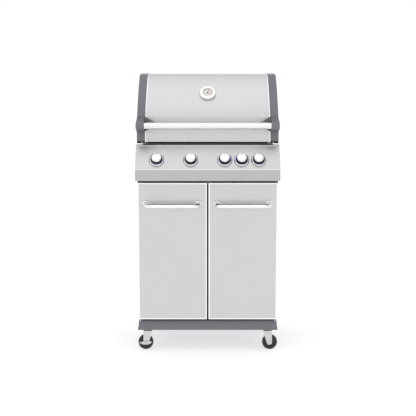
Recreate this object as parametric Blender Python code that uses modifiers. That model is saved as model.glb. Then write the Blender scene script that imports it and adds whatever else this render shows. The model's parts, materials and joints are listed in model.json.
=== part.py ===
"""Gas barbecue grill: a hooded four-burner firebox on a two-door cabinet with casters.

Metres, +Z up, front towards -Y, standing on z = 0 with the origin under its middle.
Depths are first counted back from the outer face of the doors, then moved by DOOR_FACE,
which centres the whole grill on the origin.
"""

import math

import bmesh
import bpy
from mathutils import Matrix, Vector

# ---------------------------------------------------------------- driving dimensions

GAP = 0.0003              # between pieces that touch
SHEET = 0.0015            # folded sheet metal
RUNNING = 0.0004          # between a pin or shaft and its hole, on the radius

# cabinet
CABINET_WIDTH = 0.590     # over the side panels
CABINET_DEPTH = 0.358     # side panels, front edge to back edge
CABINET_HEIGHT = 0.609    # side panels, from the base to the castings
HOLE_RADIUS = 0.0045
HOLE_PITCH_Y = 0.0225
HOLE_PITCH_Z = 0.025
HOLE_COLUMNS = 14
HOLE_ROWS = 5
UPPER_HOLES_BELOW_TOP = 0.033
LOWER_HOLES_ABOVE_BASE = 0.038

# base pan and casters
CASTER_HEIGHT = 0.094
BASE_HEIGHT = 0.035
BASE_LEDGE = 0.008        # top of the base beyond the cabinet, front and back
FLOOR_MARGIN = 0.030      # raised floor inside the cabinet: clear border and height
FLOOR_RISE = 0.0008
BASE_FLARE_Y = 0.025      # bottom of the base beyond its top
BASE_FLARE_X = 0.0035
BASE_SHEET = 0.002
CASTER_INSET_X = 0.037    # swivel axis in from the cabinet's side
CASTER_INSET_Y = 0.0355   # swivel axis in from the edge of the base's bottom
CASTER_TRAIL = 0.009
WHEEL_RADIUS = 0.0325
WHEEL_WIDTH = 0.026
AXLE_RADIUS = 0.004
SWIVEL_PIN_RADIUS = 0.005
SWIVEL_PIN_HEIGHT = 0.016
SWIVEL_DISC_RADIUS = 0.023
FORK_SHEET = 0.0025
LEVER_SHEET = 0.002
MOUNT_PAD = 0.050         # square pad under each corner of the base

# doors
DOOR_THICKNESS = 0.0175
DOOR_SETOFF = 0.004       # door to the side panels' front edge
DOOR_MIDDLE_GAP = 0.007
DOOR_BOTTOM_GAP = 0.009
DOOR_TOP_GAP = 0.0125
HINGE_INSET = 0.0065      # hinge axis in from the door's outer edge
HINGE_FROM_BACK = 0.0045  # hinge axis forward of the door's rear face
HINGE_PIN_RADIUS = 0.0025
DOOR_HANDLE_LENGTH = 0.240
DOOR_HANDLE_RADIUS = 0.009
DOOR_HANDLE_REACH = 0.040  # bar's axis in front of the door
DOOR_HANDLE_BEND = 0.022
DOOR_HANDLE_BELOW_TOP = 0.0855
DOOR_HANDLE_DROP = 0.008   # bar below its two flanges
DOOR_HANDLE_FLANGE = 0.0135

# control panel
PANEL_OVERHANG = 0.005    # beyond the cabinet's side
PANEL_REACH = 0.0575      # fascia in front of the doors
PANEL_ABOVE_CABINET = 0.003
FASCIA_HEIGHT = 0.047
SLOPE_DEPTH = 0.0615
SLOPE_RISE = 0.088
LIP = 0.010
KNOB_UP_SLOPE = 0.045     # knob axis above the fascia's crease, along the slope
KNOB_RADIUS = 0.0195
KNOB_SKIRT_RADIUS = 0.023
KNOB_FACE = 0.025         # knob's face above the panel
KNOB_LIFT = 0.006         # knob's skirt above the panel
KNOB_TRAVEL = 0.004
BEZEL_RADIUS = 0.030
BEZEL_INNER = 0.025
BEZEL_HEIGHT = 0.005
STEM_RADIUS = 0.004
VALVE_SIZE = 0.024
VALVE_DEPTH = 0.014       # valve body's front face behind the panel
MANIFOLD_RADIUS = 0.007

# side castings, rear shroud
CASTING_HEIGHT = 0.1175
CASTING_WALL = 0.005
CASTING_BEHIND = 0.0225   # beyond the cabinet's back
DECK_RISE = 0.033
DECK_RUN = 0.036          # front and rear slopes, front to back
FLUTES = 3
FLUTE_WIDTH = 0.058
FLUTE_PITCH = 0.117
FLUTE_DEPTH = 0.0025

# hood
CAP_WIDTH = 0.0334
CAP_BEYOND_CABINET = 0.0018
CAP_WALL = 0.003
HOOD_DRAFT = 0.006        # lean inwards of each side at the top
HOOD_AHEAD = 0.0055       # hood's front ahead of the cabinet's front edge
HOOD_BEHIND = 0.0015      # hood's back behind the cabinet's back edge
HOOD_LIFT = 0.010         # cap's bottom above the deck
HOOD_HEIGHT = 0.279
SHOULDER_HEIGHT = 0.104
CREST_SETBACK = 0.139
FRONT_BULGE = 0.0115
CREST_DROP = 0.007
TOP_BULGE = 0.0075
REAR_CORNER_DROP = 0.0115
REAR_LIFT = 0.083         # cap's rear bottom edge above its front bottom edge
NOTCH_ROOF = 0.114
NOTCH_REAR_FOOT = 0.109   # notch's corners, forward of the hood's back
NOTCH_REAR_ROOF = 0.123
NOTCH_FRONT_ROOF = 0.161
NOTCH_FRONT_FOOT = 0.269
PIVOT_FROM_BACK = 0.038
PIVOT_HEIGHT = 0.136
PIVOT_RADIUS = 0.005
PIVOT_BOSS_RADIUS = 0.012
SKIN_SETBACK = 0.0015
SKIN_BELOW_CAP = 0.0024
SKIN_REAR_DEPTH = 0.066
ARM_REACH = 0.056         # arm's tip axis ahead of the hood's front
ARM_TIP_RADIUS = 0.0168
ARM_ROOT_HEIGHT = 0.063
ARM_CENTRE = 0.068        # above the cap's bottom
HOOD_HANDLE_RADIUS = 0.014
THERMOMETER_PLACE = 0.505  # along the curved front
THERMOMETER_RADIUS = 0.033
THERMOMETER_HEIGHT = 0.012
DIAL_RADIUS = 0.0215
BUMPER_SIZE = (0.024, 0.018, 0.0095)

# firebox and cooking parts
FIREBOX_AHEAD = 0.001     # front wall ahead of the cabinet's front edge
FIREBOX_FROM_BACK = 0.016
FIREBOX_FLOOR = 0.027     # above the cabinet's top
FIREBOX_REAR_HEIGHT = 0.071  # rear wall above the deck
WING_HEIGHT = 0.171
WING_LOW_START = 0.055
WING_HIGH_START = 0.180
RIM_WIDTH = 0.005
BURNER_COUNT = 4
BURNER_MARGIN = 0.044     # outer burner's axis to the firebox wall
BURNER_RADIUS = 0.0125
BURNER_HEIGHT = 0.065     # axis above the cabinet's top
BURNER_END_GAP = 0.018
GRATE_THICKNESS = 0.008
GRATE_BELOW_RIM = 0.009
GRATE_SLOT = 0.009
GRATE_BAR = 0.007
HOTPLATE_WIDTH = 0.168
TAMER_HEIGHT = 0.020
TAMER_HALF_WIDTH = 0.044
TAMER_ABOVE_BURNER = 0.0295
RACK_DEPTH = 0.090
RACK_HEIGHT = 0.098       # above the deck
RACK_FROM_BACK = 0.114
REAR_BURNER_SIZE = (0.360, 0.022, 0.060)

# drip tray
TRAY_DEPTH = 0.022
TRAY_CLEAR_SIDE = 0.062   # tray's wall in from the cabinet's side
TRAY_RIM = 0.008
TRAY_FRONT = 0.044        # behind the side panels' front edge
TRAY_BELOW_TOP = 0.003
TRAY_PULL = 0.010
TRAY_CLEARANCE = 0.001    # tray's rim above its runners
DRAIN = (0.300, 0.200)

# ---------------------------------------------------------------- worked-out places

HALF = CABINET_WIDTH / 2
PANEL_HALF = HALF + PANEL_OVERHANG
CAP_OUTER = HALF + CAP_BEYOND_CABINET
CAP_INNER = CAP_OUTER - CAP_WIDTH
FIREBOX_HALF = CAP_INNER - HOOD_DRAFT - 0.0019
CASTING_INNER = FIREBOX_HALF + 0.0025

BASE_BOTTOM = CASTER_HEIGHT
BASE_TOP = BASE_BOTTOM + BASE_HEIGHT
CABINET_TOP = BASE_TOP + CABINET_HEIGHT
PANEL_BOTTOM = CABINET_TOP + PANEL_ABOVE_CABINET
CREASE = PANEL_BOTTOM + FASCIA_HEIGHT
CASTING_BOTTOM = CABINET_TOP + GAP
CASTING_TOP = CASTING_BOTTOM + CASTING_HEIGHT
DECK_TOP = CASTING_TOP + DECK_RISE
HOOD_BOTTOM = DECK_TOP + HOOD_LIFT
BURNER_Z = CABINET_TOP + BURNER_HEIGHT
DOOR_BOTTOM = BASE_TOP + DOOR_BOTTOM_GAP
DOOR_TOP = CABINET_TOP - DOOR_TOP_GAP

SLOPE = math.atan2(SLOPE_RISE, SLOPE_DEPTH)
UP_SLOPE = Vector((0, math.cos(SLOPE), math.sin(SLOPE)))
OFF_SLOPE = Vector((0, -math.sin(SLOPE), math.cos(SLOPE)))

CABINET_FRONT_DEPTH = DOOR_THICKNESS + DOOR_SETOFF
FRONT_REACH = (PANEL_REACH - KNOB_UP_SLOPE * UP_SLOPE.y - KNOB_FACE * OFF_SLOPE.y
               + KNOB_RADIUS * UP_SLOPE.y)
REAR_WHEEL_OUT = max(0, WHEEL_RADIUS + CASTER_TRAIL - CASTER_INSET_Y)
REAR_REACH = CABINET_FRONT_DEPTH + CABINET_DEPTH + BASE_LEDGE + BASE_FLARE_Y + REAR_WHEEL_OUT
DOOR_FACE = (FRONT_REACH - REAR_REACH) / 2

CABINET_FRONT = DOOR_FACE + CABINET_FRONT_DEPTH
CABINET_BACK = CABINET_FRONT + CABINET_DEPTH
CASTING_BACK = CABINET_BACK + CASTING_BEHIND
HOOD_FRONT = CABINET_FRONT - HOOD_AHEAD
HOOD_BACK = CABINET_BACK + HOOD_BEHIND
PIVOT = Vector((0, HOOD_BACK - PIVOT_FROM_BACK, HOOD_BOTTOM + PIVOT_HEIGHT))
FIREBOX_FRONT = CABINET_FRONT - FIREBOX_AHEAD
FIREBOX_BACK = CABINET_BACK - FIREBOX_FROM_BACK
GRATE_TOP = DECK_TOP - GRATE_BELOW_RIM
CREASE_LINE = Vector((0, DOOR_FACE - PANEL_REACH, CREASE))

HINGE_X = HALF - GAP - HINGE_INSET
HINGE_Y = DOOR_FACE + DOOR_THICKNESS - HINGE_FROM_BACK
CASTER_X = HALF - CASTER_INSET_X
CASTER_FRONT_Y = CABINET_FRONT - BASE_LEDGE - BASE_FLARE_Y + CASTER_INSET_Y
CASTER_REAR_Y = CABINET_BACK + BASE_LEDGE + BASE_FLARE_Y - CASTER_INSET_Y

BURNER_PITCH = 2 * (FIREBOX_HALF - BURNER_MARGIN) / (BURNER_COUNT - 1)
BURNER_X = [(i - (BURNER_COUNT - 1) / 2) * BURNER_PITCH for i in range(BURNER_COUNT)]
KNOB_X = BURNER_X[:3] + [(BURNER_X[2] + BURNER_X[3]) / 2] + BURNER_X[3:]
TRAY_HALF = HALF - TRAY_CLEAR_SIDE
TRAY_TOP = CABINET_TOP - TRAY_BELOW_TOP

# ---------------------------------------------------------------- scene and materials


def fresh_scene():
    """Remove what the file holds and make the two collections."""
    for old in list(bpy.data.objects):
        bpy.data.objects.remove(old, do_unlink=True)
    for name in ("gas_barbecue_grill", "cutters"):
        bpy.context.scene.collection.children.link(bpy.data.collections.new(name))


def finish_of(name, colour, metallic, roughness):
    """A Principled material; colour is linear RGB."""
    material = bpy.data.materials.new(name)
    material.use_nodes = True
    shader = material.node_tree.nodes["Principled BSDF"]
    shader.inputs["Base Color"].default_value = (*colour, 1)
    shader.inputs["Metallic"].default_value = metallic
    shader.inputs["Roughness"].default_value = roughness
    material.diffuse_color = (*colour, 1)
    return material


FINISHES = {
    "stainless": ((0.62, 0.62, 0.63), 1.0, 0.32),
    "grey_casting": ((0.15, 0.16, 0.18), 0.3, 0.5),
    "black_paint": ((0.035, 0.036, 0.036), 0.1, 0.5),
    "chrome": ((0.85, 0.85, 0.85), 1.0, 0.12),
    "porcelain": ((0.02, 0.02, 0.02), 0.0, 0.35),
    "brass": ((0.60, 0.42, 0.16), 1.0, 0.35),
    "rubber": ((0.02, 0.02, 0.02), 0.0, 0.7),
    "glass": ((0.9, 0.92, 0.92), 0.0, 0.05),
    "red": ((0.60, 0.03, 0.02), 0.0, 0.5),
}


def dress(obj, finish):
    """Give an object a material of its own."""
    obj.data.materials.clear()
    obj.data.materials.append(finish_of(obj.name + "_finish", *FINISHES[finish]))


def keep(obj, finish):
    """File a finished piece in the grill's collection."""
    for collection in list(obj.users_collection):
        collection.objects.unlink(obj)
    bpy.data.collections["gas_barbecue_grill"].objects.link(obj)
    dress(obj, finish)
    return obj


def as_cutter(obj):
    """File a Boolean operand among the cutters, out of the render."""
    for collection in list(obj.users_collection):
        collection.objects.unlink(obj)
    bpy.data.collections["cutters"].objects.link(obj)
    obj.hide_render = True
    obj.display_type = 'WIRE'
    return obj


# ---------------------------------------------------------------- modelling helpers

PLANES = {
    "xy": Matrix.Identity(3),
    "yz": Matrix(((0, 0, 1), (1, 0, 0), (0, 1, 0))),
    "xz": Matrix(((1, 0, 0), (0, 0, -1), (0, 1, 0))),
}


def new_object(name, mesh):
    obj = bpy.data.objects.new(name, mesh)
    bpy.context.scene.collection.objects.link(obj)
    return obj


def mesh_from(name, bm):
    mesh = bpy.data.meshes.new(name)
    bm.to_mesh(mesh)
    bm.free()
    return new_object(name, mesh)


def box(name, low, high):
    """A block between two corners."""
    bm = bmesh.new()
    size = Vector(high) - Vector(low)
    middle = (Vector(high) + Vector(low)) / 2
    place = Matrix.Translation(middle) @ Matrix.Diagonal((*size, 1))
    bmesh.ops.create_cube(bm, size=1, matrix=place)
    return mesh_from(name, bm)


def aim(direction):
    """Rotation that turns local +Z to a direction, keeping local +X level."""
    z_axis = Vector(direction).normalized()
    across = Vector((0, 0, 1)).cross(z_axis)
    x_axis = across.normalized() if across.length > 1e-6 else Vector((1, 0, 0))
    y_axis = z_axis.cross(x_axis)
    return Matrix((x_axis, y_axis, z_axis)).transposed().to_4x4()


def cylinder(name, radius, start, end, segments=20):
    """A round bar between two points."""
    start = Vector(start)
    end = Vector(end)
    place = Matrix.Translation((start + end) / 2) @ aim(end - start)
    bm = bmesh.new()
    bmesh.ops.create_cone(bm, cap_ends=True, segments=segments, radius1=radius,
                          radius2=radius, depth=(end - start).length, matrix=place)
    return mesh_from(name, bm)


def lathe(name, profile, foot, direction, segments=24, ring=False):
    """Turn a profile of (radius, height) points, listed from its top down its outer side."""
    bm = bmesh.new()
    verts = [bm.verts.new((radius, 0, height)) for radius, height in profile]
    pairs = list(zip(verts, verts[1:]))
    if ring:
        pairs.append((verts[-1], verts[0]))
    for a, b in pairs:
        bm.edges.new((a, b))
    obj = mesh_from(name, bm)
    obj.matrix_world = Matrix.Translation(Vector(foot)) @ aim(direction)
    screw = obj.modifiers.new("turn", 'SCREW')
    screw.axis = 'Z'
    screw.steps = segments
    screw.render_steps = segments
    screw.use_merge_vertices = True
    screw.merge_threshold = 0.00001
    return obj


def plate(name, outline, plane, start, end, holes=()):
    """A flat outline given thickness from start to end along the third axis."""
    curve = bpy.data.curves.new(name, 'CURVE')
    curve.dimensions = '2D'
    curve.fill_mode = 'BOTH'
    curve.extrude = abs(end - start) / 2
    for loop in (outline, *holes):
        spline = curve.splines.new('POLY')
        spline.points.add(len(loop) - 1)
        for point, (u, v) in zip(spline.points, loop):
            point.co = (u, v, 0, 1)
        spline.use_cyclic_u = True
    flat = new_object(name + "_outline", curve)
    basis = PLANES[plane].to_4x4()
    middle = (start + end) / 2 * (-1 if plane == "xz" else 1)
    flat.matrix_world = basis @ Matrix.Translation((0, 0, middle))
    return weld(name, flat)


def weld(name, curve_object):
    """Make a curve object a mesh with its caps joined on."""
    bpy.context.view_layer.update()
    seen = curve_object.evaluated_get(bpy.context.evaluated_depsgraph_get())
    mesh = bpy.data.meshes.new_from_object(seen)
    mesh.name = name
    bm = bmesh.new()
    bm.from_mesh(mesh)
    bmesh.ops.remove_doubles(bm, verts=bm.verts, dist=0.00001)
    bmesh.ops.recalc_face_normals(bm, faces=bm.faces)
    bm.to_mesh(mesh)
    bm.free()
    obj = new_object(name, mesh)
    obj.matrix_world = curve_object.matrix_world
    bpy.data.objects.remove(curve_object, do_unlink=True)
    return obj


def tube(name, points, radius, resolution=3):
    """A round bar along a path."""
    curve = bpy.data.curves.new(name, 'CURVE')
    curve.dimensions = '3D'
    curve.bevel_depth = radius
    curve.bevel_resolution = resolution
    curve.use_fill_caps = True
    spline = curve.splines.new('POLY')
    spline.points.add(len(points) - 1)
    for point, place in zip(spline.points, points):
        point.co = (*place, 1)
    return weld(name, new_object(name + "_path", curve))


def folded(name, faces, thickness):
    """Sheet or cast wall: open surface, its given side outwards, thickened inwards."""
    bm = bmesh.new()
    for face in faces:
        bm.faces.new([bm.verts.new(point) for point in face])
    bmesh.ops.remove_doubles(bm, verts=bm.verts, dist=0.00001)
    bmesh.ops.recalc_face_normals(bm, faces=bm.faces)
    obj = mesh_from(name, bm)
    solid = obj.modifiers.new("wall", 'SOLIDIFY')
    solid.thickness = thickness
    solid.offset = -1
    solid.use_even_offset = True
    solid.use_quality_normals = True
    return obj


def combine(obj, tool, operation):
    """Add a live Boolean to a mesh object and file its tool as a cutter."""
    as_cutter(tool)
    boolean = obj.modifiers.new(tool.name, 'BOOLEAN')
    boolean.operation = operation
    boolean.solver = 'EXACT'
    boolean.object = tool
    return obj


def cut(obj, *tools):
    for tool in tools:
        combine(obj, tool, 'DIFFERENCE')
    return obj


def join(obj, *tools):
    for tool in tools:
        combine(obj, tool, 'UNION')
    return obj


def hang_on(pivot_name, place, *pieces):
    """Parent pieces to an empty that stands on their joint's axis."""
    empty = bpy.data.objects.new(pivot_name, None)
    empty.location = place
    bpy.data.collections["gas_barbecue_grill"].objects.link(empty)
    bpy.context.view_layer.update()
    for piece in pieces:
        piece.parent = empty
        piece.matrix_parent_inverse = empty.matrix_world.inverted()
    return empty


def smooth(obj, angle=math.radians(35)):
    """Shade round work smooth and keep its sharp edges."""
    obj.data.shade_smooth()
    obj.data.set_sharp_from_angle(angle=angle)
    return obj


def ring_points(u, v, radius, sides, turn=0.0):
    """Corner points of a regular hole."""
    return [(u + radius * math.cos(turn + 2 * math.pi * i / sides),
             v + radius * math.sin(turn + 2 * math.pi * i / sides)) for i in range(sides)]


def rectangle(u0, u1, v0, v1):
    return [(u0, v0), (u1, v0), (u1, v1), (u0, v1)]


def bulge(a, b, rise, steps):
    """Points inside an arc from a to b that rises to the left of the line a-b."""
    a = Vector(a)
    b = Vector(b)
    chord = (b - a).length
    along = (b - a) / chord
    left = Vector((-along.y, along.x))
    radius = (chord ** 2 / 4 + rise ** 2) / (2 * rise)
    centre = (a + b) / 2 - left * (radius - rise)
    half = math.asin(chord / 2 / radius)
    angles = [half * (2 * i / steps - 1) for i in range(1, steps)]
    return [tuple(centre + radius * (along * math.sin(t) + left * math.cos(t))) for t in angles]


def rounded(corners, steps=3):
    """Outline through (u, v, radius) corners; radius 0 leaves a corner as it is."""
    points = []
    count = len(corners)
    for i, (u, v, radius) in enumerate(corners):
        here = Vector((u, v))
        if radius == 0:
            points.append((u, v))
            continue
        to_last = (Vector(corners[i - 1][:2]) - here)
        to_next = (Vector(corners[(i + 1) % count][:2]) - here)
        angle = to_last.angle(to_next)
        back = radius / math.tan(angle / 2)
        back = min(back, 0.45 * to_last.length, 0.45 * to_next.length)
        radius = back * math.tan(angle / 2)
        to_last.normalize()
        to_next.normalize()
        centre = here + (to_last + to_next).normalized() * (radius / math.sin(angle / 2))
        start = here + to_last * back - centre
        end = here + to_next * back - centre
        sweep = start.angle_signed(end)
        for step in range(steps + 1):
            spot = start.copy()
            spot.rotate(Matrix.Rotation(-sweep * step / steps, 2))
            points.append(tuple(centre + spot))
    return points


# ---------------------------------------------------------------- base and casters


def base_pan():
    """Folded pan with sloped skirts and a pad with a swivel bush at each corner."""
    top = rectangle(-HALF, HALF, CABINET_FRONT - BASE_LEDGE, CABINET_BACK + BASE_LEDGE)
    low = rectangle(-HALF - BASE_FLARE_X, HALF + BASE_FLARE_X,
                    CABINET_FRONT - BASE_LEDGE - BASE_FLARE_Y,
                    CABINET_BACK + BASE_LEDGE + BASE_FLARE_Y)
    upper = [(x, y, BASE_TOP) for x, y in top]
    lower = [(x, y, BASE_BOTTOM) for x, y in low]
    skirts = [[lower[i], lower[(i + 1) % 4], upper[(i + 1) % 4], upper[i]] for i in range(4)]
    pan = folded("base_pan", [upper, *skirts], BASE_SHEET)
    pad_bottom = BASE_BOTTOM - 0.0035
    for number, (x, y) in enumerate(caster_places()):
        half = MOUNT_PAD / 2
        pad = box(f"pad_{number}", (x - half, y - half, pad_bottom),
                  (x + half, y + half, pad_bottom + 0.007))
        bush = cylinder(f"bush_{number}", SWIVEL_PIN_RADIUS + 0.005,
                        (x, y, pad_bottom + 0.003), (x, y, BASE_TOP - BASE_SHEET / 2))
        join(pan, pad, bush)
    for number, (x, y) in enumerate(caster_places()):
        bore = cylinder(f"swivel_bore_{number}", SWIVEL_PIN_RADIUS + RUNNING,
                        (x, y, pad_bottom - 0.01), (x, y, pad_bottom + SWIVEL_PIN_HEIGHT + 0.002))
        cut(pan, bore)
    floor = box("floor_emboss", (-HALF + FLOOR_MARGIN, CABINET_FRONT + FLOOR_MARGIN,
                                 BASE_TOP - BASE_SHEET / 2),
                (HALF - FLOOR_MARGIN, CABINET_BACK - FLOOR_MARGIN, BASE_TOP + FLOOR_RISE))
    join(pan, floor)
    for side in (-1, 1):
        cut(pan, cylinder(f"lower_hinge_bore_{side}", HINGE_PIN_RADIUS + RUNNING,
                          (side * HINGE_X, HINGE_Y, BASE_TOP - 0.015),
                          (side * HINGE_X, HINGE_Y, BASE_TOP + 0.01), 12))
    keep(pan, "grey_casting")


def caster_places():
    return [(-CASTER_X, CASTER_FRONT_Y), (CASTER_X, CASTER_FRONT_Y),
            (-CASTER_X, CASTER_REAR_Y), (CASTER_X, CASTER_REAR_Y)]


def caster_fork():
    """Swivel pin, disc and two-legged fork; local +X trails, the axle lies along Y."""
    disc_top = BASE_BOTTOM - 0.0038
    disc_bottom = disc_top - 0.005
    crown_top = disc_bottom + 0.001
    crown_bottom = 2 * WHEEL_RADIUS + 0.003
    inner = WHEEL_WIDTH / 2 + 0.0018
    outer = inner + FORK_SHEET
    profile = [(0, disc_top + SWIVEL_PIN_HEIGHT), (SWIVEL_PIN_RADIUS, disc_top + SWIVEL_PIN_HEIGHT),
               (SWIVEL_PIN_RADIUS, disc_top), (SWIVEL_DISC_RADIUS, disc_top),
               (SWIVEL_DISC_RADIUS, disc_bottom), (0, disc_bottom)]
    fork = lathe("fork", profile, (0, 0, 0), (0, 0, 1), 16)
    leg_outline = rounded([(-0.017, crown_top, 0), (-0.016, crown_bottom, 0),
                           (CASTER_TRAIL - 0.008, WHEEL_RADIUS - 0.009, 0.008),
                           (CASTER_TRAIL + 0.009, WHEEL_RADIUS - 0.009, 0.008),
                           (0.017, crown_bottom, 0), (0.017, crown_top, 0)], 2)
    leg_a = plate("fork_leg_a", leg_outline, "xz", inner, outer)
    leg_b = plate("fork_leg_b", leg_outline, "xz", -outer, -inner)
    crown = box("fork_crown", (-0.0165, -outer + 0.0002, crown_bottom),
                (0.0165, outer - 0.0002, crown_top))
    axle = cylinder("fork_axle", AXLE_RADIUS, (CASTER_TRAIL, -outer - 0.0075, WHEEL_RADIUS),
                    (CASTER_TRAIL, outer + 0.0035, WHEEL_RADIUS), 12)
    nut_a = cylinder("fork_nut_a", 0.0065, (CASTER_TRAIL, outer - 0.0005, WHEEL_RADIUS),
                     (CASTER_TRAIL, outer + 0.004, WHEEL_RADIUS), 6)
    nut_b = cylinder("fork_nut_b", 0.0065, (CASTER_TRAIL, -outer - 0.008, WHEEL_RADIUS),
                     (CASTER_TRAIL, -outer - 0.004, WHEEL_RADIUS), 6)
    return join(fork, leg_a, leg_b, crown, axle, nut_a, nut_b)


def caster_wheel():
    """Plastic wheel with rounded tread shoulders, bored for the axle along local Y."""
    half = WHEEL_WIDTH / 2
    bore = AXLE_RADIUS + RUNNING
    shoulder = 0.004
    profile = [(bore, half), (WHEEL_RADIUS - shoulder, half), (WHEEL_RADIUS, half - shoulder),
               (WHEEL_RADIUS, shoulder - half), (WHEEL_RADIUS - shoulder, -half), (bore, -half)]
    return lathe("wheel", profile, (CASTER_TRAIL, 0, WHEEL_RADIUS), (0, 1, 0), 24, ring=True)


def brake_lever():
    """Bow-shaped toe lever that turns on the axle's end, outside the fork's leg."""
    outer = WHEEL_WIDTH / 2 + 0.0018 + FORK_SHEET
    near = outer + 0.0008
    bow = rounded([(CASTER_TRAIL - 0.026, WHEEL_RADIUS + 0.004, 0),
                   (CASTER_TRAIL - 0.022, WHEEL_RADIUS - 0.003, 0),
                   (CASTER_TRAIL, WHEEL_RADIUS - 0.010, 0.010),
                   (CASTER_TRAIL + 0.026, WHEEL_RADIUS - 0.002, 0),
                   (CASTER_TRAIL + 0.029, WHEEL_RADIUS + 0.003, 0),
                   (CASTER_TRAIL + 0.010, WHEEL_RADIUS + 0.009, 0),
                   (CASTER_TRAIL - 0.008, WHEEL_RADIUS + 0.009, 0)])
    lever = plate("lever", bow, "xz", -near - LEVER_SHEET, -near)
    toe = box("lever_toe", (CASTER_TRAIL + 0.0165, -near - 0.012, WHEEL_RADIUS + 0.001),
              (CASTER_TRAIL + 0.0285, -near - LEVER_SHEET / 2, WHEEL_RADIUS + 0.003))
    bore = cylinder("lever_bore", AXLE_RADIUS + RUNNING, (CASTER_TRAIL, -near - 0.01, WHEEL_RADIUS),
                    (CASTER_TRAIL, 0, WHEEL_RADIUS), 12)
    return cut(join(lever, toe), bore)


def flatten(obj):
    """Make an object's evaluated shape its plain mesh, in place."""
    bpy.context.view_layer.update()
    seen = obj.evaluated_get(bpy.context.evaluated_depsgraph_get())
    mesh = bpy.data.meshes.new_from_object(seen)
    mesh.transform(obj.matrix_world)
    obj.modifiers.clear()
    obj.data = mesh
    obj.matrix_world = Matrix.Identity(4)
    bpy.context.view_layer.update()
    return obj


def casters():
    """Four swivel casters; the front two have a brake lever."""
    fork = as_cutter(flatten(caster_fork()))
    wheel = as_cutter(flatten(caster_wheel()))
    lever = as_cutter(flatten(brake_lever()))
    for pattern in (fork, lever):
        pattern.data.transform(Matrix.Scale(-1, 4, (0, 1, 0)))
        pattern.data.flip_normals()
    names = ("front_left", "front_right", "rear_left", "rear_right")
    turns = (math.pi, 0, math.pi / 2, math.pi / 2)
    for name, turn, (x, y) in zip(names, turns, caster_places()):
        place = Matrix.Translation((x, y, 0)) @ Matrix.Rotation(turn, 4, 'Z')
        patterns = [(fork, "caster_fork", "chrome"), (wheel, "caster_wheel", "rubber")]
        if name.startswith("front"):
            patterns.append((lever, "brake_lever", "chrome"))
        for pattern, kind, finish in patterns:
            piece = new_object(f"{name}_{kind}", pattern.data.copy())
            piece.matrix_world = place
            keep(piece, finish)
            smooth(piece)


# ---------------------------------------------------------------- cabinet


def side_panels():
    """Perforated sheets, one each side."""
    middle = (CABINET_FRONT + CABINET_BACK) / 2
    low = BASE_TOP + GAP
    high = CABINET_TOP
    rows = [high - UPPER_HOLES_BELOW_TOP - i * HOLE_PITCH_Z for i in range(HOLE_ROWS)]
    rows += [low + LOWER_HOLES_ABOVE_BASE + i * HOLE_PITCH_Z for i in range(HOLE_ROWS)]
    columns = [middle + (i - (HOLE_COLUMNS - 1) / 2) * HOLE_PITCH_Y for i in range(HOLE_COLUMNS)]
    holes = [ring_points(y, z, HOLE_RADIUS, 4, math.pi / 4) for y in columns for z in rows]
    outline = rectangle(CABINET_FRONT, CABINET_BACK, low, high)
    for name, start, end in (("left_side_panel", -HALF, -HALF + SHEET),
                             ("right_side_panel", HALF - SHEET, HALF)):
        keep(plate(name, outline, "yz", start, end, holes), "black_paint")


def cabinet_back_panel():
    """Back sheet with a window at its top for the drip tray."""
    side = HALF - SHEET - GAP
    window = TRAY_HALF + TRAY_RIM + 0.003
    sill = TRAY_TOP - TRAY_DEPTH - 0.004
    outline = [(-side, BASE_TOP + GAP), (side, BASE_TOP + GAP), (side, CABINET_TOP),
               (window, CABINET_TOP), (window, sill), (-window, sill), (-window, CABINET_TOP),
               (-side, CABINET_TOP)]
    keep(plate("cabinet_back_panel", outline, "xz", CABINET_BACK - SHEET, CABINET_BACK), "black_paint")


def front_rail():
    """Cross rail above the doors, with a lip in front and the upper hinge holes."""
    front = DOOR_FACE + 0.002
    back = CABINET_FRONT + 0.036
    lip = 0.002
    top = CABINET_TOP - 0.0005
    section = [(front, top), (front, top - 0.009), (front + lip, top - 0.009),
               (front + lip, top - lip), (back, top - lip), (back, top)]
    side = HALF - SHEET - GAP
    rail = plate("front_rail", section, "yz", -side, side)
    for edge in (-1, 1):
        cut(rail, cylinder(f"upper_hinge_bore_{edge}", HINGE_PIN_RADIUS + RUNNING,
                           (edge * HINGE_X, HINGE_Y, top - 0.006),
                           (edge * HINGE_X, HINGE_Y, top + 0.01), 12))
    keep(rail, "black_paint")


def doors():
    """Two folded door pans with a pivot pin at the top and bottom of each outer edge."""
    outer = HALF - GAP
    inner = DOOR_MIDDLE_GAP / 2
    back = DOOR_FACE + DOOR_THICKNESS
    for side, name in ((-1, "left_door"), (1, "right_door")):
        face = rectangle(*sorted((side * outer, side * inner)), DOOR_BOTTOM, DOOR_TOP)
        front = [(x, DOOR_FACE, z) for x, z in face]
        rear = [(x, back, z) for x, z in face]
        returns = [[front[i], front[(i + 1) % 4], rear[(i + 1) % 4], rear[i]] for i in range(4)]
        door = folded(name, [front, *returns], SHEET)
        x = side * HINGE_X
        upper = cylinder(name + "_upper_pin", HINGE_PIN_RADIUS, (x, HINGE_Y, DOOR_TOP - SHEET / 2),
                         (x, HINGE_Y, CABINET_TOP - 0.0007), 12)
        lower = cylinder(name + "_lower_pin", HINGE_PIN_RADIUS, (x, HINGE_Y, BASE_TOP - 0.007),
                         (x, HINGE_Y, DOOR_BOTTOM + SHEET / 2), 12)
        keep(join(door, upper, lower), "stainless")
        handle = door_handle(side, name + "_handle")
        hang_on(name + "_hinge", (x, HINGE_Y, DOOR_BOTTOM), door, handle)


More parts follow.
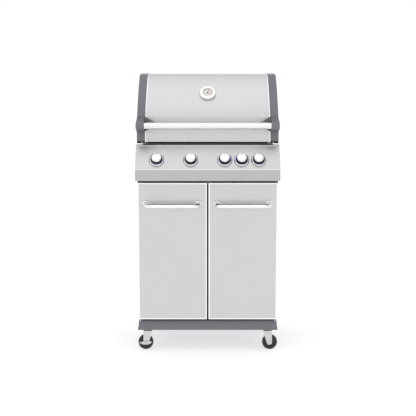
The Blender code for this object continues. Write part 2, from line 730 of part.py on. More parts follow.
def door_handle(side, name):
    """Bow handle: two posts bent into a bar, with a round flange on each post."""
    middle = side * (HALF - GAP + DOOR_MIDDLE_GAP / 2) / 2
    reach = DOOR_HANDLE_LENGTH / 2 - DOOR_HANDLE_RADIUS
    face = DOOR_FACE - GAP
    depth = DOOR_HANDLE_REACH - GAP
    flange_z = DOOR_TOP - DOOR_HANDLE_BELOW_TOP
    bend = DOOR_HANDLE_BEND
    half_path = [(reach, 0), (reach, 0.004)]
    for i in range(5):
        angle = math.pi / 2 * i / 4
        half_path.append((reach - bend + bend * math.cos(angle), depth - bend + bend * math.sin(angle)))
    path = half_path + [(-x, d) for x, d in reversed(half_path)]
    drop = DOOR_HANDLE_DROP / (depth - 0.004)
    points = [(middle + x, face - d, flange_z - drop * max(0, d - 0.004)) for x, d in path]
    handle = tube(name, points, DOOR_HANDLE_RADIUS, 2)
    for end in (-1, 1):
        foot = (middle + end * reach, face, flange_z)
        handle = join(handle, cylinder(f"{name}_flange_{end}", DOOR_HANDLE_FLANGE, foot,
                                       (foot[0], face - 0.004, flange_z), 16))
    return smooth(keep(handle, "chrome"))


# ---------------------------------------------------------------- control panel and gas train


def on_slope(x, up, out):
    """Point on the sloped face: up it from the crease, and out along its normal."""
    return Vector((x, 0, 0)) + CREASE_LINE + UP_SLOPE * up + OFF_SLOPE * out


def control_panel():
    """Folded stainless panel with closed ends, raised bezel rings and stem holes."""
    fascia = DOOR_FACE - PANEL_REACH
    slope_top = (fascia + SLOPE_DEPTH, CREASE + SLOPE_RISE)
    lip_top = (slope_top[0] + LIP, slope_top[1] + LIP)
    section = [(fascia + 0.015, PANEL_BOTTOM), (fascia, PANEL_BOTTOM), (fascia, CREASE),
               slope_top, (slope_top[0] + LIP * 0.35, slope_top[1] + LIP * 0.8), lip_top]
    faces = []
    for (y0, z0), (y1, z1) in zip(section, section[1:]):
        faces.append([(-PANEL_HALF, y0, z0), (PANEL_HALF, y0, z0),
                      (PANEL_HALF, y1, z1), (-PANEL_HALF, y1, z1)])
    end_back = DOOR_FACE - SHEET
    end_top = CREASE + SLOPE_RISE * (end_back - fascia) / SLOPE_DEPTH
    end = [(fascia, PANEL_BOTTOM), (fascia + 0.015, PANEL_BOTTOM), (end_back, PANEL_BOTTOM),
           (end_back, end_top), (fascia, CREASE)]
    faces[2] = [(-PANEL_HALF, fascia, CREASE), (PANEL_HALF, fascia, CREASE),
                (PANEL_HALF, end_back, end_top), (PANEL_HALF, *slope_top),
                (-PANEL_HALF, *slope_top), (-PANEL_HALF, end_back, end_top)]
    for side in (-1, 1):
        faces.append([(side * PANEL_HALF, y, z) for y, z in end])
    panel = folded("control_panel", faces, SHEET)
    for number, x in enumerate(KNOB_X, 1):
        ring = cylinder(f"bezel_{number}", BEZEL_RADIUS, on_slope(x, KNOB_UP_SLOPE, -SHEET / 2),
                        on_slope(x, KNOB_UP_SLOPE, BEZEL_HEIGHT), 18)
        join(panel, ring)
    for number, x in enumerate(KNOB_X, 1):
        well = cylinder(f"bezel_well_{number}", BEZEL_INNER, on_slope(x, KNOB_UP_SLOPE, 0.0002),
                        on_slope(x, KNOB_UP_SLOPE, 0.02), 18)
        hole = cylinder(f"stem_hole_{number}", STEM_RADIUS + 0.002, on_slope(x, KNOB_UP_SLOPE, -0.01),
                        on_slope(x, KNOB_UP_SLOPE, 0.01), 12)
        cut(panel, well, hole)
    keep(panel, "stainless")


def gas_manifold():
    """Manifold pipe with five valve bodies, four orifice spuds and an inlet elbow."""
    inward = -OFF_SLOPE
    body_middle = VALVE_DEPTH + VALVE_SIZE / 2
    pipe_drop = VALVE_SIZE / 2 + MANIFOLD_RADIUS - 0.002
    pipe_place = on_slope(0, KNOB_UP_SLOPE - pipe_drop, -body_middle)
    reach = KNOB_X[-1] + VALVE_SIZE / 2 + 0.008
    pipe = cylinder("gas_manifold", MANIFOLD_RADIUS, pipe_place + Vector((-reach, 0, 0)),
                    pipe_place + Vector((reach, 0, 0)), 16)
    for number, x in enumerate(KNOB_X, 1):
        front = on_slope(x, KNOB_UP_SLOPE, -VALVE_DEPTH)
        body = cylinder(f"valve_body_{number}", VALVE_SIZE / 2, front, front + inward * VALVE_SIZE, 12)
        join(pipe, body)
    mouth = FIREBOX_FRONT - 0.0095
    for number, x in enumerate(BURNER_X, 1):
        start = on_slope(x, KNOB_UP_SLOPE, -body_middle - VALVE_SIZE / 2 + 0.006)
        spud = cylinder(f"orifice_{number}", 0.005, (x, start.y, BURNER_Z), (x, mouth, BURNER_Z), 10)
        join(pipe, spud)
    inlet = pipe_place + Vector((reach - 0.014, 0, 0))
    drop = cylinder("inlet_drop", MANIFOLD_RADIUS, inlet, inlet - Vector((0, 0, 0.034)), 16)
    nut = cylinder("inlet_nut", 0.0115, inlet - Vector((0, 0, 0.030)),
                   inlet - Vector((0, 0, 0.046)), 6)
    join(pipe, drop, nut)
    for number, x in enumerate(KNOB_X, 1):
        start = on_slope(x, KNOB_UP_SLOPE, -VALVE_DEPTH)
        cut(pipe, cylinder(f"stem_bore_{number}", STEM_RADIUS + RUNNING, start - inward * 0.005,
                           start + inward * 0.013, 12))
    keep(pipe, "brass")


def knobs():
    """Five knobs, each on a valve stem that pushes in and lets the knob turn."""
    depth = KNOB_FACE - KNOB_LIFT
    profile = [(0, depth), (KNOB_RADIUS - 0.002, depth), (KNOB_RADIUS, depth - 0.002),
               (KNOB_RADIUS, 0.007), (KNOB_SKIRT_RADIUS, 0.004), (KNOB_SKIRT_RADIUS, 0),
               (STEM_RADIUS + GAP, 0), (STEM_RADIUS + GAP, 0.013), (0, 0.013)]
    for number, x in enumerate(KNOB_X, 1):
        foot = on_slope(x, KNOB_UP_SLOPE, KNOB_LIFT)
        knob = lathe(f"knob_{number}", profile, foot, OFF_SLOPE, 18)
        smooth(keep(knob, "chrome"))
        inner_end = on_slope(x, KNOB_UP_SLOPE, -VALVE_DEPTH - 0.007)
        outer_end = on_slope(x, KNOB_UP_SLOPE, KNOB_LIFT + 0.013 - GAP)
        stem = cylinder(f"valve_stem_{number}", STEM_RADIUS, inner_end, outer_end, 12)
        smooth(keep(stem, "brass"))
        hang_on(f"knob_{number}_axis", foot, knob, stem)


# ---------------------------------------------------------------- castings round the firebox


def side_castings():
    """Fluted side castings whose deck rises to the firebox, hipped at both ends."""
    front = DOOR_FACE + GAP
    back = CASTING_BACK
    middle = (front + back) / 2
    for side, name in ((-1, "left_side_casting"), (1, "right_side_casting")):
        out = side * PANEL_HALF
        inn = side * CASTING_INNER
        low_out = [(out, front, CASTING_BOTTOM), (out, back, CASTING_BOTTOM)]
        top_out = [(out, front, CASTING_TOP), (out, back, CASTING_TOP)]
        low_in = [(inn, front, CASTING_BOTTOM), (inn, back, CASTING_BOTTOM)]
        top_in = [(inn, front, CASTING_TOP), (inn, back, CASTING_TOP)]
        ridge = [(inn, front + DECK_RUN, DECK_TOP), (inn, back - DECK_RUN, DECK_TOP)]
        faces = [[low_out[0], low_out[1], top_out[1], top_out[0]],
                 [low_out[0], top_out[0], top_in[0], low_in[0]],
                 [low_out[1], top_out[1], top_in[1], low_in[1]],
                 [top_out[0], top_out[1], ridge[1], ridge[0]],
                 [top_out[0], top_in[0], ridge[0]],
                 [top_out[1], top_in[1], ridge[1]]]
        casting = folded(name, faces, CASTING_WALL)
        for i in range(FLUTES):
            y = middle + (i - (FLUTES - 1) / 2) * FLUTE_PITCH
            flute = box(f"{name}_flute_{i}",
                        (min(out, out - side * FLUTE_DEPTH) - (0.01 if side < 0 else 0),
                         y - FLUTE_WIDTH / 2, CASTING_BOTTOM - 0.01),
                        (max(out, out - side * FLUTE_DEPTH) + (0.01 if side > 0 else 0),
                         y + FLUTE_WIDTH / 2, CASTING_TOP - 0.002))
            cut(casting, flute)
        keep(casting, "grey_casting")


def rear_shroud():
    """Back cover between the side castings, with the same rising deck."""
    side = FIREBOX_HALF - GAP
    section = [(CASTING_BACK, CASTING_BOTTOM), (CASTING_BACK, CASTING_TOP),
               (CASTING_BACK - DECK_RUN, DECK_TOP)]
    faces = []
    for (y0, z0), (y1, z1) in zip(section, section[1:]):
        faces.append([(-side, y0, z0), (side, y0, z0), (side, y1, z1), (-side, y1, z1)])
    keep(folded("rear_shroud", faces, SHEET), "grey_casting")


# ---------------------------------------------------------------- firebox and cooking parts


def wing_outline():
    """Side wall of the firebox seen from the side: a low front and a raised rear wing."""
    floor = CABINET_TOP + FIREBOX_FLOOR
    return [(FIREBOX_FRONT, floor), (FIREBOX_FRONT, DECK_TOP),
            (FIREBOX_FRONT + WING_LOW_START, DECK_TOP),
            (FIREBOX_FRONT + WING_HIGH_START, DECK_TOP + WING_HEIGHT),
            (FIREBOX_BACK, DECK_TOP + WING_HEIGHT),
            (FIREBOX_BACK, DECK_TOP + FIREBOX_REAR_HEIGHT), (FIREBOX_BACK, floor)]


def firebox():
    """Enamelled box with raised wings that carry the hood's pivots."""
    half = FIREBOX_HALF
    wing = wing_outline()
    floor = wing[0][1]
    rear_top = wing[5][1]
    left = [(-half, y, z) for y, z in wing]
    right = [(half, y, z) for y, z in wing]
    faces = [left, right,
             [left[0], right[0], right[1], left[1]],
             [left[6], right[6], right[5], left[5]],
             [left[0], right[0], right[6], left[6]],
             [left[1], right[1], (half, FIREBOX_FRONT - RIM_WIDTH, DECK_TOP),
              (-half, FIREBOX_FRONT - RIM_WIDTH, DECK_TOP)]]
    shell = folded("firebox", faces, SHEET)
    inside = half - SHEET / 2
    ledge_top = GRATE_TOP - GRATE_THICKNESS - GAP
    front_ledge = box("front_ledge", (-inside, FIREBOX_FRONT + SHEET / 2, ledge_top - 0.004),
                      (inside, FIREBOX_FRONT + 0.011, ledge_top))
    rear_ledge = box("rear_ledge", (-inside, FIREBOX_BACK - 0.011, ledge_top - 0.004),
                     (inside, FIREBOX_BACK - SHEET / 2, ledge_top))
    join(shell, front_ledge, rear_ledge)
    for number, x in enumerate(BURNER_X, 1):
        cut(shell, cylinder(f"burner_hole_{number}", BURNER_RADIUS + 0.0015,
                            (x, FIREBOX_FRONT - 0.01, BURNER_Z), (x, FIREBOX_FRONT + 0.02, BURNER_Z), 16))
    middle = (FIREBOX_FRONT + FIREBOX_BACK) / 2
    drain = box("drain", (-DRAIN[0] / 2, middle - DRAIN[1] / 2, floor - 0.01),
                (DRAIN[0] / 2, middle + DRAIN[1] / 2, floor + 0.01))
    pivots = cylinder("wing_pivot_holes", PIVOT_RADIUS + RUNNING, PIVOT - Vector((half + 0.01, 0, 0)),
                      PIVOT + Vector((half + 0.01, 0, 0)), 16)
    cut(shell, drain, pivots)
    keep(shell, "porcelain")


def burners():
    """Four tube burners, open at the valve end, and the ceramic rear burner."""
    start = FIREBOX_FRONT - 0.0135
    length = FIREBOX_BACK - BURNER_END_GAP - start
    bore = BURNER_RADIUS - 0.0012
    profile = [(0, length), (BURNER_RADIUS, length), (BURNER_RADIUS, 0), (bore, 0),
               (bore, length - 0.0012), (0, length - 0.0012)]
    for number, x in enumerate(BURNER_X, 1):
        burner = lathe(f"burner_{number}", profile, (x, start, BURNER_Z), (0, 1, 0), 16)
        smooth(keep(burner, "stainless"))
    width, depth, height = REAR_BURNER_SIZE
    back = FIREBOX_BACK - SHEET - GAP
    low = GRATE_TOP + 0.015
    rear = box("rear_burner", (-width / 2, back - depth, low), (width / 2, back, low + height))
    cut(rear, box("rear_burner_recess", (-width / 2 + 0.012, back - depth - 0.01, low + 0.008),
                  (width / 2 - 0.012, back - depth + 0.008, low + height - 0.008)))
    keep(rear, "stainless")


def slots(u0, u1, v0, v1, slot, bar):
    """Long holes side by side across a grille, from v0 to v1."""
    count = int((u1 - u0 + bar) / (slot + bar))
    spare = (u1 - u0 + bar - count * (slot + bar)) / 2
    starts = [u0 + spare + i * (slot + bar) for i in range(count)]
    return [rectangle(u, u + slot, v0, v1) for u in starts]


def cooking_parts():
    """Flame tamer, slotted grate, hotplate and warming rack."""
    inside = FIREBOX_HALF - SHEET - GAP
    front = FIREBOX_FRONT + SHEET + 0.002
    back = FIREBOX_BACK - SHEET - 0.002
    split = inside - HOTPLATE_WIDTH
    rim = 0.010
    left = (-inside, split - GAP)
    keep(plate("cooking_grate", rectangle(*left, front, back), "xy", GRATE_TOP - GRATE_THICKNESS,
               GRATE_TOP, slots(left[0] + rim, left[1] - rim, front + rim + 0.002,
                                back - rim - 0.002, GRATE_SLOT, GRATE_BAR)), "porcelain")
    keep(plate("hotplate", rectangle(split, inside, front, back), "xy",
               GRATE_TOP - GRATE_THICKNESS, GRATE_TOP,
               [rectangle(split + 0.02, inside - 0.02, back - 0.03, back - 0.015)]), "porcelain")
    base = BURNER_Z + TAMER_ABOVE_BURNER
    peaks = [(-inside, base)]
    for x in BURNER_X:
        half = min(TAMER_HALF_WIDTH, BURNER_MARGIN - SHEET - 2 * GAP)
        peaks += [(x - half, base), (x, base + TAMER_HEIGHT), (x + half, base)]
    peaks.append((inside, base))
    faces = [[(x0, front + 0.012, z0), (x1, front + 0.012, z1), (x1, back - 0.012, z1),
              (x0, back - 0.012, z0)] for (x0, z0), (x1, z1) in zip(peaks, peaks[1:]) if x1 - x0 > 0.0005]
    keep(folded("flame_tamer", faces, SHEET), "stainless")
    rack_back = HOOD_BACK - RACK_FROM_BACK
    rack = (rack_back - RACK_DEPTH, rack_back)
    rack_z = DECK_TOP + RACK_HEIGHT
    keep(plate("warming_rack", rectangle(-inside, inside, *rack), "xy", rack_z - 0.004, rack_z,
               slots(-inside + 0.006, inside - 0.006, rack[0] + 0.006, rack[1] - 0.006, 0.020, 0.004)),
         "chrome")


def drip_tray():
    """Grease tray on two runners, drawn out through the back."""
    front = CABINET_FRONT + TRAY_FRONT
    back = CABINET_BACK + 0.004
    low = TRAY_TOP - TRAY_DEPTH
    half = TRAY_HALF
    rim = half + TRAY_RIM
    floor = [(x, y, low) for x, y in rectangle(-half, half, front, back)]
    upper = [(x, y, TRAY_TOP) for x, y in rectangle(-half, half, front, back)]
    walls = [[floor[i], floor[(i + 1) % 4], upper[(i + 1) % 4], upper[i]] for i in range(4)]
    rims = [[upper[1], upper[2], (rim, back, TRAY_TOP), (rim, front, TRAY_TOP)],
            [upper[0], upper[3], (-rim, back, TRAY_TOP), (-rim, front, TRAY_TOP)]]
    pull = [[upper[2], upper[3], (-half, back + TRAY_PULL, TRAY_TOP),
             (half, back + TRAY_PULL, TRAY_TOP)]]
    keep(folded("drip_tray", [floor, *walls, *rims, *pull], SHEET), "stainless")
    runner_top = TRAY_TOP - SHEET - TRAY_CLEARANCE
    inner = half + 0.004
    outer = HALF - SHEET - GAP
    for side, name in ((-1, "left_tray_runner"), (1, "right_tray_runner")):
        section = [(side * inner, runner_top), (side * inner, runner_top - SHEET),
                   (side * (outer - SHEET), runner_top - SHEET),
                   (side * (outer - SHEET), runner_top - 0.012), (side * outer, runner_top - 0.012),
                   (side * outer, runner_top)]
        keep(plate(name, section, "xz", front, CABINET_BACK - SHEET - GAP), "black_paint")


# ---------------------------------------------------------------- hood


def lean(obj):
    """Lean a hood piece's sides inwards as they rise."""
    turned = obj.matrix_world.copy()
    back = turned.inverted()
    for vertex in obj.data.vertices:
        place = turned @ vertex.co
        shift = HOOD_DRAFT * (place.z - HOOD_BOTTOM) / HOOD_HEIGHT
        place.x -= math.copysign(shift, place.x)
        vertex.co = back @ place
    return obj


def hood_front_curve(setback):
    """Shoulder and crest of the curved front, set back from the caps' edge."""
    shoulder = (HOOD_FRONT + setback, HOOD_BOTTOM + SHOULDER_HEIGHT)
    crest = (HOOD_FRONT + CREST_SETBACK + setback * 0.6,
             HOOD_BOTTOM + HOOD_HEIGHT - CREST_DROP - setback * 0.8)
    return shoulder, crest


def cap_outline():
    """Side view of the hood, with the air notch in its lower edge."""
    top = HOOD_BOTTOM + HOOD_HEIGHT
    shoulder, crest = hood_front_curve(0)
    corner = (HOOD_BACK, top - REAR_CORNER_DROP)
    corners = [(HOOD_FRONT, HOOD_BOTTOM, 0.004), (*shoulder, 0.006)]
    corners += [(*p, 0) for p in bulge(shoulder, crest, FRONT_BULGE, 9)]
    corners.append((*crest, 0.006))
    corners += [(*p, 0) for p in bulge(crest, corner, TOP_BULGE, 7)]
    rear = HOOD_BOTTOM + REAR_LIFT
    roof = HOOD_BOTTOM + NOTCH_ROOF
    corners += [(*corner, 0.010), (HOOD_BACK, rear, 0.010),
                (HOOD_BACK - NOTCH_REAR_FOOT, rear, 0.012), (HOOD_BACK - NOTCH_REAR_ROOF, roof, 0.008),
                (HOOD_BACK - NOTCH_FRONT_ROOF, roof, 0.008),
                (HOOD_BACK - NOTCH_FRONT_FOOT, HOOD_BOTTOM, 0.014)]
    return rounded(corners)


def arm_outline():
    """Handle arm seen from the side: deep root, round tip."""
    centre = HOOD_BOTTOM + ARM_CENTRE
    tip = HOOD_FRONT - ARM_REACH
    root = HOOD_FRONT + CAP_WALL / 2
    half = ARM_ROOT_HEIGHT / 2
    nose = [(tip - ARM_TIP_RADIUS * math.sin(a), centre + 0.001 + ARM_TIP_RADIUS * math.cos(a))
            for a in (math.pi * i / 8 for i in range(9))]
    return [(root, centre + half + 0.001), *nose, (root, centre - half)]


def hood_caps():
    """Hollow end caps with handle arms, pivot bosses and rubber bumpers."""
    outline = cap_outline()
    for side, word in ((-1, "left"), (1, "right")):
        outer = side * CAP_OUTER
        inner = side * CAP_INNER
        face = [(outer, y, z) for y, z in outline]
        count = len(outline)
        rim = []
        for i, (y, z) in enumerate(outline):
            y2, z2 = outline[(i + 1) % count]
            rim.append([(outer, y, z), (outer, y2, z2), (inner, y2, z2), (inner, y, z)])
        cap = lean(folded(word + "_hood_cap", [face, *rim], CAP_WALL))
        arm = lean(plate(word + "_arm", arm_outline(), "yz", *sorted((inner, outer))))
        axis = Vector((side, 0, 0))
        boss_start = axis * (FIREBOX_HALF + 0.0045) + PIVOT
        boss = cylinder(word + "_boss", PIVOT_BOSS_RADIUS, boss_start,
                        axis * (abs(outer) - CAP_WALL * 1.8) + PIVOT, 16)
        bore = cylinder(word + "_pivot_bore", PIVOT_RADIUS + RUNNING, axis * (FIREBOX_HALF - 0.01) + PIVOT,
                        axis * (abs(outer) + 0.01) + PIVOT, 16)
        cut(join(cap, arm, boss), bore)
        keep(cap, "grey_casting")
        pivot_bolt(side, word)
        width, depth, height = BUMPER_SIZE
        middle = side * (abs(outer) + abs(inner)) / 2
        top = HOOD_BOTTOM - GAP
        bumper = box(word + "_hood_bumper", (middle - width / 2, HOOD_FRONT + 0.0065, top - height),
                     (middle + width / 2, HOOD_FRONT + 0.0065 + depth, top))
        keep(bumper, "rubber")


def pivot_bolt(side, word):
    """Shoulder bolt through the cap's boss and the firebox wing."""
    at_pivot = CAP_OUTER - HOOD_DRAFT * PIVOT_HEIGHT / HOOD_HEIGHT
    head = at_pivot + 0.0008
    wing = FIREBOX_HALF - SHEET - GAP
    profile = [(0, head + 0.003), (0.008, head + 0.003), (0.009, head), (PIVOT_RADIUS, head),
               (PIVOT_RADIUS, wing), (0.008, wing), (0.008, wing - 0.004), (0, wing - 0.004)]
    bolt = lathe(word + "_pivot_bolt", profile, PIVOT, (side, 0, 0), 16)
    smooth(keep(bolt, "chrome"))


def hood_skin():
    """Curved stainless skin between the caps, and the back panel under its rear edge."""
    shoulder, crest = hood_front_curve(SKIN_SETBACK)
    bottom = HOOD_BOTTOM - SKIN_BELOW_CAP
    top = HOOD_BOTTOM + HOOD_HEIGHT - SKIN_SETBACK
    corner = (HOOD_BACK - SKIN_SETBACK, top - REAR_CORNER_DROP)
    section = [(HOOD_FRONT + SKIN_SETBACK, bottom), shoulder]
    section += bulge(shoulder, crest, FRONT_BULGE, 9)
    section.append(crest)
    section += bulge(crest, corner, TOP_BULGE, 7)
    section += [(corner[0] - 0.004, corner[1] + 0.001), (corner[0], corner[1] - 0.004),
                (corner[0], corner[1] - SKIN_REAR_DEPTH)]
    half = CAP_INNER - GAP
    faces = [[(-half, y0, z0), (half, y0, z0), (half, y1, z1), (-half, y1, z1)]
             for (y0, z0), (y1, z1) in zip(section, section[1:])]
    skin = lean(folded("hood_skin", faces, SHEET))
    place, normal = thermometer_place()
    probe = cylinder("probe_hole", 0.004, place - normal * 0.02, place + normal * 0.02, 12)
    smooth(keep(cut(skin, probe), "stainless"), math.radians(12))
    panel_half = FIREBOX_HALF - SHEET - 0.0015
    panel_y = corner[0] - SHEET - GAP
    low = HOOD_BOTTOM + REAR_LIFT + 0.002
    panel = box("hood_back_panel", (-panel_half, panel_y - SHEET, low),
                (panel_half, panel_y, corner[1] - 0.006))
    keep(panel, "black_paint")


def thermometer_place():
    """Where the thermometer's axis meets the curved front, and the outward direction there."""
    shoulder, crest = hood_front_curve(SKIN_SETBACK)
    a = Vector(shoulder)
    b = Vector(crest)
    chord = (b - a).length
    along = (b - a) / chord
    left = Vector((-along.y, along.x))
    radius = (chord ** 2 / 4 + FRONT_BULGE ** 2) / (2 * FRONT_BULGE)
    centre = (a + b) / 2 - left * (radius - FRONT_BULGE)
    angle = math.asin(chord / 2 / radius) * (2 * THERMOMETER_PLACE - 1)
    normal = along * math.sin(angle) + left * math.cos(angle)
    place = centre + normal * radius
    return Vector((0, place.x, place.y)), Vector((0, normal.x, normal.y))


def thermometer():
    """Cupped case with a probe, a glass lens and a pointer on the dial."""
    place, normal = thermometer_place()
    foot = place + normal * GAP
    rim = THERMOMETER_RADIUS
    high = THERMOMETER_HEIGHT
    dial = high - 0.0055
    profile = [(0, dial), (DIAL_RADIUS, dial), (DIAL_RADIUS, high), (DIAL_RADIUS + 0.003, high),
               (rim - 0.002, high - 0.004), (rim, high - 0.007), (rim, 0), (0.003, 0), (0.003, -0.045),
               (0, -0.045)]
    case = lathe("thermometer_case", profile, foot, normal, 24)
    smooth(keep(case, "chrome"))
    lens_radius = DIAL_RADIUS - GAP
    lens = lathe("thermometer_lens", [(0, high - 0.001), (lens_radius, high - 0.001),
                                      (lens_radius, high - 0.0022), (0, high - 0.0022)],
                 foot, normal, 24)
    smooth(keep(lens, "glass"))
    hub = dial + GAP
    pointer = cylinder("thermometer_pointer", 0.003, foot + normal * hub,
                       foot + normal * (hub + 0.0016), 12)
    up = Vector((0, -normal.z, normal.y)) * -1
    long_way = up * (DIAL_RADIUS - 0.004)
    across = Vector((0.0012, 0, 0))
    bm = bmesh.new()
    bmesh.ops.create_cube(bm, size=1)
    for vertex in bm.verts:
        length = vertex.co.y + 0.25
        vertex.co = (foot + normal * (hub + 0.0008 + vertex.co.z * 0.001)
                     + long_way * length * 0.8 + across * vertex.co.x)
    bmesh.ops.recalc_face_normals(bm, faces=bm.faces)
    join(pointer, mesh_from("pointer_needle", bm))
    keep(pointer, "red")
    hang_on("thermometer_axis", foot, pointer)


def hood_handle():
    """Tube between the two arms."""
    half = CAP_INNER - HOOD_DRAFT * (ARM_CENTRE + ARM_TIP_RADIUS) / HOOD_HEIGHT - GAP
    place = (-half, HOOD_FRONT - ARM_REACH, HOOD_BOTTOM + ARM_CENTRE)
    bore = HOOD_HANDLE_RADIUS - 0.0015
    profile = [(bore, 2 * half), (HOOD_HANDLE_RADIUS, 2 * half), (HOOD_HANDLE_RADIUS, 0), (bore, 0)]
    handle = lathe("hood_handle", profile, place, (1, 0, 0), 24, ring=True)
    smooth(keep(handle, "stainless"))


def hood():
    """The whole hood, hung on its pivot."""
    hood_caps()
    hood_skin()
    hood_handle()
    thermometer()
    moving = ("left_hood_cap", "right_hood_cap", "left_hood_bumper", "right_hood_bumper",
              "hood_skin", "hood_back_panel", "hood_handle", "thermometer_case", "thermometer_lens")
    pieces = [bpy.data.objects[name] for name in moving]
    axis = hang_on("hood_pivot", PIVOT, *pieces)
    dial_axis = bpy.data.objects["thermometer_axis"]
    dial_axis.parent = axis
    dial_axis.matrix_parent_inverse = axis.matrix_world.inverted()


def main():
    fresh_scene()
    base_pan()
    casters()
    side_panels()
    cabinet_back_panel()
    front_rail()
    doors()
    control_panel()
    gas_manifold()
    knobs()
    side_castings()
    rear_shroud()
    firebox()
    burners()
    cooking_parts()
    drip_tray()
    hood()


main()
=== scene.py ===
"""Looks of the gas barbecue grill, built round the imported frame.

Metres, +Z up, front towards -Y. Each function below makes one kind of piece; right-hand
pieces are modelled and left-hand ones are mirrored from them.
"""

import json
import math

import bmesh
import bpy
from mathutils import Matrix, Vector


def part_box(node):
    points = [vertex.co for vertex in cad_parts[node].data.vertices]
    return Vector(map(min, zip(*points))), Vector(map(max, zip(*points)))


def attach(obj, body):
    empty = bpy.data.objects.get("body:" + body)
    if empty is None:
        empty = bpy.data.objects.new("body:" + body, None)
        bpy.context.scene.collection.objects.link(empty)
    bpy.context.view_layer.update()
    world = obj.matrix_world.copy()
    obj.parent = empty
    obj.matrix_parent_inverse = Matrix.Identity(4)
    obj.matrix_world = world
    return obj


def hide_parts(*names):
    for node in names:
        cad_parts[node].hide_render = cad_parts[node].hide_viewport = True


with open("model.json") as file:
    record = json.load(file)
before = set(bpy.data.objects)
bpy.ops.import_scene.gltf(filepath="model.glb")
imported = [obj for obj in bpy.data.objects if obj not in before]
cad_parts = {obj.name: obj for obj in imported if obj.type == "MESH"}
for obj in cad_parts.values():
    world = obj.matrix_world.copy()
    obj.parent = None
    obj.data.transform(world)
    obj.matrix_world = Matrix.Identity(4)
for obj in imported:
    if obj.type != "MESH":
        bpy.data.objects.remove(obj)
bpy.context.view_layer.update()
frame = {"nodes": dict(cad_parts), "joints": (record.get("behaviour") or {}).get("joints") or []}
JOINTS = {joint["name"]: joint for joint in frame["joints"]}

# ---------------------------------------------------------------- places, from the frame

PANEL_LOW, PANEL_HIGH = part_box("right_side_panel")
HALF = PANEL_HIGH.x
CABINET_FRONT, CABINET_BACK = PANEL_LOW.y, PANEL_HIGH.y
BASE_TOP, CABINET_TOP = 0.129, PANEL_HIGH.z
SHEET = 0.0015
FLOOR_MARGIN = 0.030      # raised floor inside the cabinet: clear border and height
FLOOR_RISE = 0.0008

DOOR_LOW, DOOR_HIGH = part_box("right_door")
DOOR_FACE, DOOR_BACK = DOOR_LOW.y, DOOR_HIGH.y
DOOR_BOTTOM = BASE_TOP + 0.0087
DOOR_TOP = CABINET_TOP - 0.0125

FASCIA_LOW, FASCIA_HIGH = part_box("control_panel")
PANEL_HALF = FASCIA_HIGH.x
FASCIA_FRONT = DOOR_FACE - 0.0575
CREASE = FASCIA_LOW.z + 0.047
SLOPE_RUN, SLOPE_RISE = 0.0615, 0.088
SLOPE = math.atan2(SLOPE_RISE, SLOPE_RUN)
UP_SLOPE = Vector((0, math.cos(SLOPE), math.sin(SLOPE)))
OFF_SLOPE = Vector((0, -math.sin(SLOPE), math.cos(SLOPE)))
KNOB_UP_SLOPE = 0.045
KNOB_X = [sum(corner.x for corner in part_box(f"knob_{i}")) / 2 for i in range(1, 6)]

WHEEL_RADIUS, WHEEL_WIDTH = 0.0325, 0.026
TRAIL = 0.009             # from the swivel to the axle
FORK_INNER = WHEEL_WIDTH / 2 + 0.0018
FORK_OUTER = FORK_INNER + 0.0025
RACE_TOP = 0.0900
# each caster's name and its turn about the swivel at rest
CASTER_TURNS = {"front_left": math.pi, "front_right": 0,
                "rear_left": math.pi / 2, "rear_right": math.pi / 2}

CASTING_LOW, CASTING_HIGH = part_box("right_side_casting")
CASTING_RISE = 0.033      # deck above the casting's outer top edge
CASTING_RUN = 0.036       # front and rear slopes of the deck
FLUTE_WIDTH = 0.058
FLUTE_PITCH = 0.117

CAP_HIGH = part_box("right_hood_cap")[1]
SKIN_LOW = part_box("hood_skin")[0]
TUBE_LOW, TUBE_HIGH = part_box("hood_handle")
HOOD_BACK = CAP_HIGH.y
HOOD_BOTTOM = SKIN_LOW.z + 0.0024
HOOD_HEIGHT = 0.279
HOOD_FRONT = SKIN_LOW.y - 0.0015
HOOD_LEAN = 0.006         # each side leans in by this much at the top
CAP_OUTER = CAP_HIGH.x
CAP_INNER = CAP_OUTER - 0.0334
SHOULDER = (HOOD_FRONT, HOOD_BOTTOM + 0.104)
CREST = (HOOD_FRONT + 0.139, HOOD_BOTTOM + HOOD_HEIGHT - 0.007)
REAR_CORNER = (HOOD_BACK, HOOD_BOTTOM + HOOD_HEIGHT - 0.0115)
FRONT_BULGE = 0.0115
TOP_BULGE = 0.0075
TUBE_PLACE = ((TUBE_LOW + TUBE_HIGH) / 2).yz

# ---------------------------------------------------------------- modelling steps


def lone(obj):
    """Select one object and nothing else."""
    bpy.ops.object.select_all(action='DESELECT')
    obj.select_set(True)
    bpy.context.view_layer.objects.active = obj
    return obj


def named(name):
    """Name the primitive just added and put its place into its mesh."""
    obj = bpy.context.object
    obj.name = name
    obj.data.name = name
    lone(obj)
    bpy.ops.object.transform_apply(location=True, rotation=True, scale=True)
    return obj


def block(name, low, high):
    low = Vector(low)
    high = Vector(high)
    bpy.ops.mesh.primitive_cube_add(size=1, location=(low + high) / 2, scale=high - low)
    return named(name)


def aim(direction):
    """Rotation that turns +Z to a direction and keeps +X level."""
    z_axis = Vector(direction).normalized()
    across = Vector((0, 0, 1)).cross(z_axis)
    x_axis = across.normalized() if across.length > 1e-6 else Vector((1, 0, 0))
    return Matrix((x_axis, z_axis.cross(x_axis), z_axis)).transposed()


def rod(name, radius, start, end, sides=32):
    start = Vector(start)
    end = Vector(end)
    bpy.ops.mesh.primitive_cylinder_add(vertices=sides, radius=radius, depth=(end - start).length,
                                        location=(start + end) / 2,
                                        rotation=aim(end - start).to_euler())
    return named(name)


def edit(obj):
    lone(obj)
    bpy.ops.object.mode_set(mode='EDIT')
    return obj


